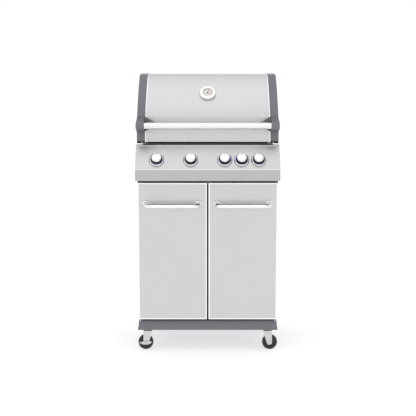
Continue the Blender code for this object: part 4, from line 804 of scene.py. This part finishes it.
def bezels():
    """Chrome rings with a dark well and a blue light ring round each knob, and index marks; the black well
    disc reaches past each ring as a painted shadow outline.
    """
    ring_line = [(0.0246, 0.0058), (0.0256, 0.0064), (0.0272, 0.0062), (0.0288, 0.0048), (0.0298, 0.0028),
                 (0.0300, 0.0006), (0.0244, 0.0006), (0.0244, 0.0020), (0.0246, 0.0024), (0.0246, 0.0058)]
    light_line = [(0.0245, 0.0030), (0.0243, 0.0050), (0.0237, 0.0052), (0.0234, 0.0044), (0.0234, 0.0014),
                  (0.0245, 0.0014), (0.0245, 0.0030)]
    # black disc under the ring: the dark well inside it and, just past the ring's edge, a painted shadow
    # outline
    well_and_shadow_line = [(0.0068, 0.0012), (0.0232, 0.0012), (0.0240, 0.0005), (0.0309, 0.0005), (0.0313, 0.0001),
                 (0.0068, 0.0001), (0.0068, 0.0012)]
    ring = 0.0345             # index marks' distance from the knob's axis
    parts = (("bezel_ring", ring_line, "bezel_chrome", "chrome_plate"),
             ("light_ring", light_line, "blue_light", "knob_satin"),
             ("bezel_well_and_painted_shadow", well_and_shadow_line, "black_moulding", "black_paint"))
    for number, x in enumerate(KNOB_X, 1):
        foot = on_slope(x, KNOB_UP_SLOPE, 0)
        for word, line, finish_name, slot in parts:
            dressed(turned(f"{word}_{number}", line, foot, OFF_SLOPE, 64), "root", finish_name, slot)
        marks = []
        for angle, size in ((-52, 0.0011), (-8, 0.0016), (28, 0.0011), (58, 0.0011)):
            turn = math.radians(90 + angle)
            spot = on_slope(x + ring * math.cos(turn), KNOB_UP_SLOPE + ring * math.sin(turn), 0.0001)
            dot_line = [(0, 0.0003), (size, 0.0003), (size, 0), (0, 0)]
            marks.append(turned("mark", dot_line, spot, OFF_SLOPE, 16))
        dressed(grouped(f"index_marks_{number}", marks), "root", "ink", "black_paint")


def knobs():
    """Knob with a satin face cap, a black fluted grip and a skirt."""
    grip_line = [(0, 0.0150), (0.0192, 0.0150), (0.0197, 0.0145), (0.0205, 0.0042), (0.0226, 0.0028),
                 (0.0230, 0.0016), (0.0228, 0), (0.0043, 0), (0.0043, 0.0128), (0, 0.0128)]
    cap_line = [(0, 0.0192), (0.0120, 0.0191), (0.0176, 0.0186), (0.0194, 0.0176), (0.0199, 0.0164),
                (0.0199, 0.0152), (0.0190, 0.0150), (0, 0.0150)]
    foot = on_slope(0, KNOB_UP_SLOPE, 0.006)
    grip = turned("grip", grip_line, (0, 0, 0), (0, 0, 1), 72)
    ribs = []
    rib_count = 24
    for i in range(rib_count):
        turn = 2 * math.pi * i / rib_count
        at = Vector((math.cos(turn), math.sin(turn), 0)) * 0.0203
        ribs.append(rod("rib", 0.0009, at + Vector((0, 0, 0.0040)), at * 0.965 + Vector((0, 0, 0.0142)), 8))
    gathered(grip, *ribs)
    cap = turned("cap", cap_line, (0, 0, 0), (0, 0, 1), 72)
    mark = block("pointer", (-0.0007, 0.0105, 0.0180), (0.0007, 0.0165, 0.0194))
    ease(mark, 0.0003, 2)
    turn_up = Matrix.Translation(foot) @ aim(OFF_SLOPE).to_4x4()
    for number, x in enumerate(KNOB_X, 1):
        place = Matrix.Translation((x, 0, 0)) @ turn_up
        body = f"knob_{number}"
        dressed(copied(grip, f"knob_grip_{number}", place), body, "black_moulding", "black_paint", body)
        dressed(copied(cap, f"knob_face_{number}", place), body, "satin_chrome", "knob_satin")
        dressed(copied(mark, f"knob_mark_{number}", place), body, "ink", "black_paint")
    discard(grip, cap, mark)


# ---------------------------------------------------------------- castings


def side_castings():
    """Fluted castings: flutes pushed in, tabs left proud, deck raised and hipped at both ends."""
    inner, front, bottom = CASTING_LOW
    outer, back, _ = CASTING_HIGH
    top = CASTING_HIGH.z - CASTING_RISE
    middle = (front + back) / 2
    flutes = [middle + (i - 1) * FLUTE_PITCH for i in range(3)]
    tab, tab_top, depth = 0.012, bottom + 0.023, 0.0042
    casting = edit(block("right_casting_shell", (inner, front, bottom), (outer, back, top)))
    pick('FACE', lambda _, normal: normal.z < -0.9)
    bpy.ops.mesh.delete(type='FACE')
    cuts = [y + half for y in flutes for half in (-FLUTE_WIDTH / 2, -tab, tab, FLUTE_WIDTH / 2)]
    slice_at((0, 1, 0), *cuts, front + CASTING_RUN, back - CASTING_RUN)
    slice_at((0, 0, 1), tab_top, top - 0.010)
    pick('VERT', lambda at, _: at.z > top - 0.001 and at.x < inner + 0.001
         and front + CASTING_RUN - 0.001 < at.y < back - CASTING_RUN + 0.001)
    shift(0, 0, CASTING_RISE)
    for y in flutes:
        pick('FACE', lambda at, normal: normal.x > 0.9 and abs(at.y - y) < FLUTE_WIDTH / 2
             and at.z < top - 0.010 and not (abs(at.y - y) < tab and at.z < tab_top))
        pull(-depth, 0, 0)
    leave(casting)
    ease(casting, 0.0020, 3, 34)
    finish_with(casting, 'SOLIDIFY', thickness=0.003, offset=-1)
    for vertex in casting.data.vertices:
        vertex.co.z = max(vertex.co.z, bottom)
    shells = both_hands(casting, "casting_shell", "root", "grey_coat", "grey_casting", "{}_side_casting")
    for shell in shells:
        # painted shade: the sunk faces of the flutes take the darker copy of the grey coat
        also(shell, "flute_painted_shade_coat", lambda at, normal: outer - 0.0050 < abs(at.x) < outer - 0.0034
             and abs(normal.x) > 0.9 and at.z < top - 0.009)


def deck_trims():
    """Sunk dark tray in each deck with a bright rod at both ends."""
    inner, front, _ = CASTING_LOW
    outer, back, deck = CASTING_HIGH
    top = deck - CASTING_RISE
    run = outer - inner
    slope = Vector((inner - outer, 0, CASTING_RISE)).normalized()
    off = Vector((CASTING_RISE, 0, run)).normalized()

    def on_deck(along, y, out):
        return Vector((outer, y, top)) + slope * along + off * out

    length = math.hypot(run, CASTING_RISE)
    near, far = 0.012, length - 0.006
    y0, y1 = front + 0.052, back - 0.052
    tray = block("right_deck_tray", (0, 0, 0), (1, 1, 1))
    flare = 0.012             # the tray is wider at its outer edge
    corners = {(0, 0): (near, y0 - flare), (1, 0): (far, y0), (0, 1): (near, y1 + flare), (1, 1): (far, y1)}
    for vertex in tray.data.vertices:
        along, y = corners[(round(vertex.co.x), round(vertex.co.y))]
        vertex.co = on_deck(along, y, 0.0016 if vertex.co.z > 0.5 else 0.0002)
    edit(tray)
    bpy.ops.mesh.select_all(action='SELECT')
    bpy.ops.mesh.normals_make_consistent(inside=False)
    pick('FACE', lambda _, normal: normal.dot(off) > 0.9)
    bpy.ops.mesh.inset(thickness=0.004)
    bpy.ops.mesh.inset(thickness=0.001)
    shift(*(off * -0.0012))
    leave(tray)
    ease(tray, 0.0003, 2)
    both_hands(tray, "deck_tray", "root", "recess_coat", "black_paint")
    rods = []
    for y_low, y_high in ((y0 - 0.020, y0 - 0.006), (y1 + 0.020, y1 + 0.006)):
        bar = rod("bar", 0.0016, on_deck(near, y_low, 0.0014), on_deck(far, y_high, 0.0014), 16)
        rods.append(ease(bar, 0.0006, 2, 50))
    both_hands(grouped("right_deck_rods", rods), "deck_rods", "root", "chrome", "chrome_plate")


# ---------------------------------------------------------------- hood


def lean_at(z):
    """How far the hood's sides have come in at a height."""
    return HOOD_LEAN * (z - HOOD_BOTTOM) / HOOD_HEIGHT


def leaned(obj):
    """Lean a hood piece's sides inwards as they rise."""
    for vertex in obj.data.vertices:
        vertex.co.x -= math.copysign(lean_at(vertex.co.z), vertex.co.x)
    return obj


def cap_line(inset=0.0):
    """Side view of a cap; inset gives the line of its sunk panel instead."""
    rear = HOOD_BOTTOM + 0.083
    roof = HOOD_BOTTOM + 0.114
    if not inset:
        line = [(HOOD_FRONT, HOOD_BOTTOM, 0.004), (*SHOULDER, 0.010)]
        line += [(*p, 0) for p in bulge(SHOULDER, CREST, FRONT_BULGE, 24)]
        line += [(*CREST, 0.008)]
        line += [(*p, 0) for p in bulge(CREST, REAR_CORNER, TOP_BULGE, 16)]
        line += [(*REAR_CORNER, 0.012), (HOOD_BACK, rear, 0.012), (HOOD_BACK - 0.109, rear, 0.014),
                 (HOOD_BACK - 0.123, roof, 0.008), (HOOD_BACK - 0.161, roof, 0.008),
                 (HOOD_BACK - 0.269, HOOD_BOTTOM, 0.014)]
        return rounded(line)
    shoulder = (SHOULDER[0] + inset, SHOULDER[1] - 0.002)
    crest = (CREST[0] + inset * 0.42, CREST[1] - inset * 0.92)
    corner = (REAR_CORNER[0] - inset, REAR_CORNER[1] - inset * 0.95)
    line = [(HOOD_FRONT + inset, HOOD_BOTTOM + inset * 1.15, 0.010), (*shoulder, 0.016)]
    line += [(*p, 0) for p in bulge(shoulder, crest, FRONT_BULGE * 0.85, 20)]
    line += [(*crest, 0.010)]
    line += [(*p, 0) for p in bulge(crest, corner, TOP_BULGE * 0.8, 12)]
    low_rear = rear + inset
    arch = HOOD_BOTTOM + 0.180
    line += [(*corner, 0.010), (corner[0], low_rear, 0.014), (HOOD_BACK - 0.102, low_rear, 0.014),
             (HOOD_BACK - 0.115, arch, 0.022), (HOOD_BACK - 0.169, arch, 0.022),
             (HOOD_BACK - 0.172, HOOD_BOTTOM + 0.128, 0.012),
             (HOOD_BACK - 0.266, HOOD_BOTTOM + inset * 1.15, 0.014)]
    return rounded(line)


def hood_caps():
    """Hollow cast caps with a sunk side panel, an arch over the notch, bosses and handle arm."""
    wall = 0.003
    cap = edit(slab("right_cap_casting", cap_line(), CAP_INNER, CAP_OUTER))
    pick('FACE', lambda _, normal: normal.x < -0.9)
    bpy.ops.mesh.delete(type='FACE')
    leave(cap)
    ease(cap, 0.0035, 4, 60)
    finish_with(cap, 'SOLIDIFY', thickness=wall, offset=-1, use_even_offset=True)
    sunk = slab("sunk", cap_line(0.0195), CAP_OUTER - 0.0021, CAP_OUTER + 0.01)
    notch_y = HOOD_BACK - 0.142
    low, high = HOOD_BOTTOM + 0.108, HOOD_BOTTOM + 0.158
    finger_line = rounded([(notch_y - 0.0155, low, 0), (notch_y - 0.0125, high, 0.012),
                           (notch_y + 0.0125, high, 0.012), (notch_y + 0.0165, low, 0)])
    finger = slab("finger", finger_line, CAP_OUTER - 0.0021, CAP_OUTER + 0.01)
    cut(cap, sunk, finger)
    root_z = HOOD_BOTTOM + 0.068
    tip_y, tip_z = TUBE_PLACE
    nose_radius = 0.0168
    nose = [(tip_y - nose_radius * math.sin(a), tip_z + 0.001 + nose_radius * math.cos(a))
            for a in (math.pi * i / 16 for i in range(17))]
    root = HOOD_FRONT + wall * 0.7
    arm_line = [(root, root_z + 0.0325), *nose, (root, root_z - 0.0315)]
    arm = slab("arm", arm_line, CAP_INNER - 0.0005, CAP_OUTER + 0.0004)
    ease(arm, 0.0022, 3, 50)
    united(cap, arm)
    ease(cap, 0.0006, 2, 50)
    leaned(cap)
    both_hands(cap, "cap_casting", "hood", "grey_coat", "grey_casting", "{}_hood_cap")
    bosses = []
    for y, z, radius in ((HOOD_BACK - 0.038, HOOD_BOTTOM + 0.136, 0.0075),
                         (HOOD_BACK - 0.049, HOOD_BOTTOM + 0.0985, 0.010)):
        x = CAP_OUTER - 0.0020 - lean_at(z)
        profile = [(0, 0.0016), (radius * 0.55, 0.0016), (radius * 0.62, 0.0021), (radius * 0.86, 0.0021),
                   (radius, 0.0010), (radius, -0.001), (0, -0.001)]
        bosses.append(turned("boss", profile, (x, y, z), (1, 0, 0), 36))
    both_hands(grouped("right_cap_bosses", bosses), "cap_bosses", "hood", "grey_coat", "grey_casting")


def hood_gaskets():
    """Black bumper strip along each cap's lower edge, its screw, and the rear stop."""
    top = HOOD_BOTTOM - 0.0002
    strip = block("right_bumper_strip", (CAP_INNER - 0.0005, HOOD_FRONT + 0.0015, top - 0.0088),
                  (CAP_OUTER - 0.0006, HOOD_BACK - 0.272, top))
    edit(strip)
    pick('VERT', lambda at, _: at.y > -0.1 and at.z < top - 0.004)
    shift(0, 0, 0.0045)
    leave(strip)
    ease(strip, 0.0022, 3)
    both_hands(strip, "bumper_strip", "hood", "rubber", "black_rubber", "{}_hood_bumper")
    screw = turned("right_bumper_screw",
                   [(0, 0.0016), (0.0012, 0.0015), (0.0021, 0.0009), (0.0024, 0), (0, 0)],
                   (CAP_INNER + 0.0100, HOOD_FRONT + 0.0017, top - 0.0040), (0, -1, 0), 24)
    both_hands(screw, "bumper_screw", "hood", "chrome", "chrome_plate")
    stop = turned("right_rear_stop", [(0, 0.006), (0.0045, 0.0056), (0.0062, 0.0036), (0.0062, 0), (0, 0)],
                  (CAP_OUTER - 0.014, HOOD_BACK - 0.0003, HOOD_BOTTOM + 0.108), (0, 1, 0), 28)
    both_hands(stop, "rear_stop", "hood", "rubber", "black_rubber")


def skin_section(inset):
    """The skin's outer line from its lower front edge over the crest to its rear edge."""
    shoulder = (SHOULDER[0] + inset, SHOULDER[1])
    crest = (CREST[0] + inset * 0.6, CREST[1] - inset * 0.8)
    corner = (REAR_CORNER[0] - inset, REAR_CORNER[1] - inset)
    line = [(HOOD_FRONT + inset, SKIN_LOW.z), shoulder]
    line += bulge(shoulder, crest, FRONT_BULGE, 28)
    line.append(crest)
    line += bulge(crest, corner, TOP_BULGE, 18)
    line += [(corner[0] - 0.004, corner[1] + 0.001), (corner[0], corner[1] - 0.004),
             (corner[0], corner[1] - 0.066)]
    return line


def hood_skin():
    """Smooth stainless skin with a hemmed lower edge."""
    inset = 0.0015
    skin = run_of_sheet("hood_skin_sheet", skin_section(inset), CAP_INNER - 0.0003, SHEET, (0, -1, 1))
    ease(skin, 0.0012, 3, 15)
    dressed(leaned(skin), "hood", "hood_stainless", "stainless_sheet", "hood_skin")
    hem = block("hood_hem", (-CAP_INNER + 0.001, HOOD_FRONT + 0.0005, SKIN_LOW.z + 0.0001),
                (CAP_INNER - 0.001, HOOD_FRONT + 0.0022, SKIN_LOW.z + 0.0075))
    ease(hem, 0.0006, 3)
    dressed(hem, "hood", "hood_stainless", "stainless_sheet")
    edges = []
    for side in (-1, 1):
        line = skin_section(inset - 0.0009)[:-3]
        points = [(side * (CAP_INNER - 0.0022), y, z) for y, z in line]
        edge = drawn("edge", points)
        bpy.ops.mesh.select_all(action='SELECT')
        pull(side * -0.0030)
        leave(edge)
        finish_with(edge, 'SOLIDIFY', thickness=0.0012, offset=0)
        ease(edge, 0.0004, 2, 50)
        edges.append(leaned(edge))
    # painted highlight: the edge rolls are the skin's own stainless but take the brighter chrome finish, for
    # the bright line along each edge
    dressed(grouped("hood_edge_rolls", edges), "hood", "chrome", "stainless_sheet")


def hood_handle():
    """Round tube with eased ends, and black pieces above and below it at each arm: a painted reflection of
    each arm's shaded inner side on the skin.
    """
    y, z = TUBE_PLACE
    half = TUBE_HIGH.x
    profile = [(0.0125, 2 * half), (0.0138, 2 * half), (0.0140, 2 * half - 0.0004), (0.0140, 0.0004),
               (0.0138, 0), (0.0125, 0), (0.0125, 2 * half)]
    dressed(turned("hood_handle_tube", profile, (-half, y, z), (1, 0, 0), 64), "hood", "tube_stainless",
            "stainless_sheet", "hood_handle")
    web_root = HOOD_FRONT - 0.0003
    # painted reflection: black triangles against the skin at each arm, for the dark reflection of the arm's
    # shaded inner side
    reflection_webs = {"upper": [(half - 0.0005, z + 0.036), (half - 0.0005, z), (half - 0.040, z + 0.010)],
            "lower": [(half - 0.0005, z - 0.024), (half - 0.0005, z), (half - 0.026, z - 0.012)]}
    for name, corners in reflection_webs.items():
        reflection_web = drawn(f"right_{name}_web", [(a, web_root, b) for a, b in corners])
        bpy.ops.mesh.select_all(action='SELECT')
        bpy.ops.mesh.edge_face_add()
        pull(0, y + 0.006 - web_root, 0)
        if name == "upper":
            pick('VERT', lambda at, _: at.y < y + 0.008 and at.z > z + 0.02)
            shift(0, 0, -0.016)
        leave(reflection_web)
        ease(reflection_web, 0.0010, 2)
        both_hands(reflection_web, f"{name}_web", "hood", "black_moulding", "black_paint")


def thermometer():
    """Thermometer: satin case, dial card with ink ticks, red pointer and a lens."""
    foot = Vector(JOINTS["thermometer_needle"]["pos_m"])
    normal = Vector(JOINTS["thermometer_needle"]["axis"]).normalized()
    rim, dial = 0.0354, 0.0215
    case_line = [(dial, 0.0062), (dial, 0.0118), (dial + 0.0012, 0.0126), (rim - 0.0045, 0.0120),
                 (rim - 0.0018, 0.0106), (rim - 0.0008, 0.0088), (rim - 0.0012, 0.0010),
                 (rim - 0.0022, 0.0004), (dial - 0.004, 0.0004), (dial - 0.004, 0.0055), (dial, 0.0062)]
    dressed(turned("thermometer_rim", case_line, foot, normal, 72), "hood", "satin_chrome", "chrome_plate",
            "thermometer_case")
    card_line = [(0, 0.0062), (dial - 0.0003, 0.0062), (dial - 0.0003, 0.0054), (0, 0.0054)]
    dressed(turned("thermometer_dial", card_line, foot, normal, 64), "hood", "dial", "chrome_plate")
    place = Matrix.Translation(foot) @ aim(normal).to_4x4()
    ticks = []
    for i in range(25):
        turn = math.radians(-120 + 10 * i)
        long_tick = i % 4 == 0
        inner = 0.0150 if long_tick else 0.0168
        wide = 0.0004 if long_tick else 0.00022
        tick = block("tick", (-wide, inner, 0.0061), (wide, 0.0192, 0.00645))
        tick.data.transform(place @ Matrix.Rotation(turn, 4, 'Z'))
        ticks.append(tick)
    dressed(grouped("thermometer_ticks", ticks), "hood", "ink", "chrome_plate")
    hub = turned("thermometer_needle_hub",
                 [(0, 0.0085), (0.0016, 0.0084), (0.0026, 0.0078), (0.0026, 0.0066), (0, 0.0066)],
                 (0, 0, 0), (0, 0, 1), 32)
    blade = edit(block("blade", (-0.0011, -0.0055, 0.0069), (0.0011, 0.0135, 0.0076)))
    pick('VERT', lambda at, _: at.y > 0.01)
    bpy.ops.transform.resize(value=(0.25, 1, 1))
    leave(blade)
    gathered(hub, blade)
    hub.data.transform(place @ Matrix.Rotation(math.radians(-18), 4, 'Z'))
    dressed(hub, "thermometer_pointer", "red", "needle_red", "thermometer_pointer")
    lens_line = [(0, 0.0116), (0.012, 0.0113), (dial - 0.0003, 0.0106), (dial - 0.0003, 0.0098),
                 (0, 0.0098)]
    dressed(turned("thermometer_glass", lens_line, foot, normal, 64), "hood", "lens", "lens_glass",
            "thermometer_lens")


def wing_trims():
    """Raised bead and two plugged holes on the outer face of each firebox wing."""
    _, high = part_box("firebox")
    x = high.x
    base = CASTING_HIGH.z + 0.010
    frame_line = rounded([(high.y - 0.012, base, 0.004), (high.y - 0.012, base + 0.060, 0.004),
                          (high.y - 0.150, base + 0.060, 0.010), (high.y - 0.205, base, 0.006)])
    inside = rounded([(high.y - 0.0145, base + 0.0025, 0.003), (high.y - 0.0145, base + 0.0575, 0.003),
                      (high.y - 0.149, base + 0.0575, 0.009), (high.y - 0.199, base + 0.0025, 0.005)])
    bead = slab("right_wing_bead", frame_line, x - 0.0002, x + 0.0010)
    cut(bead, slab("inside", inside, x - 0.002, x + 0.003))
    ease(bead, 0.0004, 2)
    plug_line = [(0, 0.0008), (0.0030, 0.0008), (0.0036, 0.0003), (0.0036, -0.0002), (0, -0.0002)]
    plugs = [turned("plug", plug_line, (x, high.y - 0.152, z), (1, 0, 0), 24)
             for z in (base + 0.022, base + 0.044)]
    gathered(bead, *plugs)
    both_hands(bead, "wing_bead", "root", "black_moulding", "black_enamel")


# ---------------------------------------------------------------- carried-over nodes


def carried_nodes():
    """Finishes for the CAD nodes whose shape stays."""
    choices = {
        "cabinet_back_panel": "black_coat", "front_rail": "black_coat", "rear_shroud": "grey_coat",
        "gas_manifold": "brass", "firebox": "enamel", "rear_burner": "burner_steel",
        "flame_tamer": "burner_steel", "cooking_grate": "cast_iron", "hotplate": "cast_iron",
        "warming_rack": "chrome", "left_tray_runner": "black_coat", "right_tray_runner": "black_coat",
        "left_pivot_bolt": "grey_coat", "right_pivot_bolt": "grey_coat", "hood_back_panel": "black_coat",
        "drip_tray": "door_stainless"}
    choices.update({f"burner_{i}": "burner_steel" for i in range(1, 5)})
    choices.update({f"valve_stem_{i}": "brass" for i in range(1, 6)})
    for node, finish_name in choices.items():
        mesh = frame["nodes"][node].data
        mesh.materials.clear()
        mesh.materials.append(FINISHES[finish_name])


# ---------------------------------------------------------------- studio


def studio():
    """Pale floor, soft world, three soft boxes, a weak sun as fill, and the camera."""
    bpy.ops.mesh.primitive_circle_add(vertices=128, radius=30, fill_type='NGON', location=(0, 0, -0.0002))
    floor = named("studio_floor")
    floor.data.materials.append(finish("pale studio floor", (0.50, 0.50, 0.50), 0.0, 0.8, (2, 2, 2),
                                       shade=0.01, spread=0.05, marks=0.01,
                                       Emission_Color=(1, 1, 1, 1), Emission_Strength=0.60))
    world = bpy.data.worlds.new("studio_world")
    bpy.context.scene.world = world
    world.use_nodes = True
    tree = world.node_tree
    direction = tree.nodes.new('ShaderNodeTexCoord').outputs["Generated"]
    split = wired(tree, 'ShaderNodeSeparateXYZ', [(direction, 0)])
    ramp = wired(tree, 'ShaderNodeValToRGB', [(split.outputs["Z"], 0)])
    stops = ((0.0, 1.03), (0.25, 0.96), (0.55, 0.82), (0.85, 0.72), (1.0, 0.76))
    while len(ramp.color_ramp.elements) < len(stops):
        ramp.color_ramp.elements.new(0.5)
    for element, (at, value) in zip(ramp.color_ramp.elements, stops):
        element.position = at
        element.color = (value, value, value, 1)
    background = tree.nodes["Background"]
    tree.links.new(ramp.outputs[0], background.inputs["Color"])
    background.inputs["Strength"].default_value = 1.0
    lamps = (("overhead_box", (0, -0.4, 3.4), (0, 0, 0.6), 2.6, 6),
             ("left_box", (-3.0, -2.4, 2.2), (0, 0, 0.7), 1.8, 8),
             ("front_box", (0.4, -4.8, 3.0), (0, 0, 0.8), 2.0, 14))
    for name, place, target, size, watts in lamps:
        bpy.ops.object.light_add(type='AREA', location=place)
        lamp = bpy.context.object
        lamp.name = name
        lamp.data.shape = 'SQUARE'
        lamp.data.size = size
        lamp.data.energy = watts
        lamp.rotation_euler = (Vector(place) - Vector(target)).to_track_quat('Z', 'Y').to_euler()
    bpy.ops.object.light_add(type='SUN', location=(0, 0, 4),
                             rotation=(math.radians(20), math.radians(-12), 0))
    sun = bpy.context.object
    sun.name = "room_fill"
    sun.data.energy = 0.25
    sun.data.angle = math.radians(60)
    camera_distance, camera_height, look_down = 4.0, 1.234, 9.0
    bpy.ops.object.camera_add(location=(0, DOOR_FACE - camera_distance, camera_height),
                              rotation=(math.radians(90 - look_down), 0, 0))
    camera = bpy.context.object
    camera.name = "front_camera"
    camera.data.lens = 83.3
    camera.data.sensor_width = 36
    camera.data.shift_x = 0.0007
    camera.data.shift_y = 0.0108
    bpy.context.scene.camera = camera
    bpy.context.scene.view_settings.view_transform = 'Standard'


side_panels()
panel_screws()
doors()
door_handles()
base_pan()
casters()
control_panel()
bezels()
knobs()
side_castings()
deck_trims()
hood_caps()
hood_gaskets()
hood_skin()
hood_handle()
thermometer()
wing_trims()
carried_nodes()
studio()
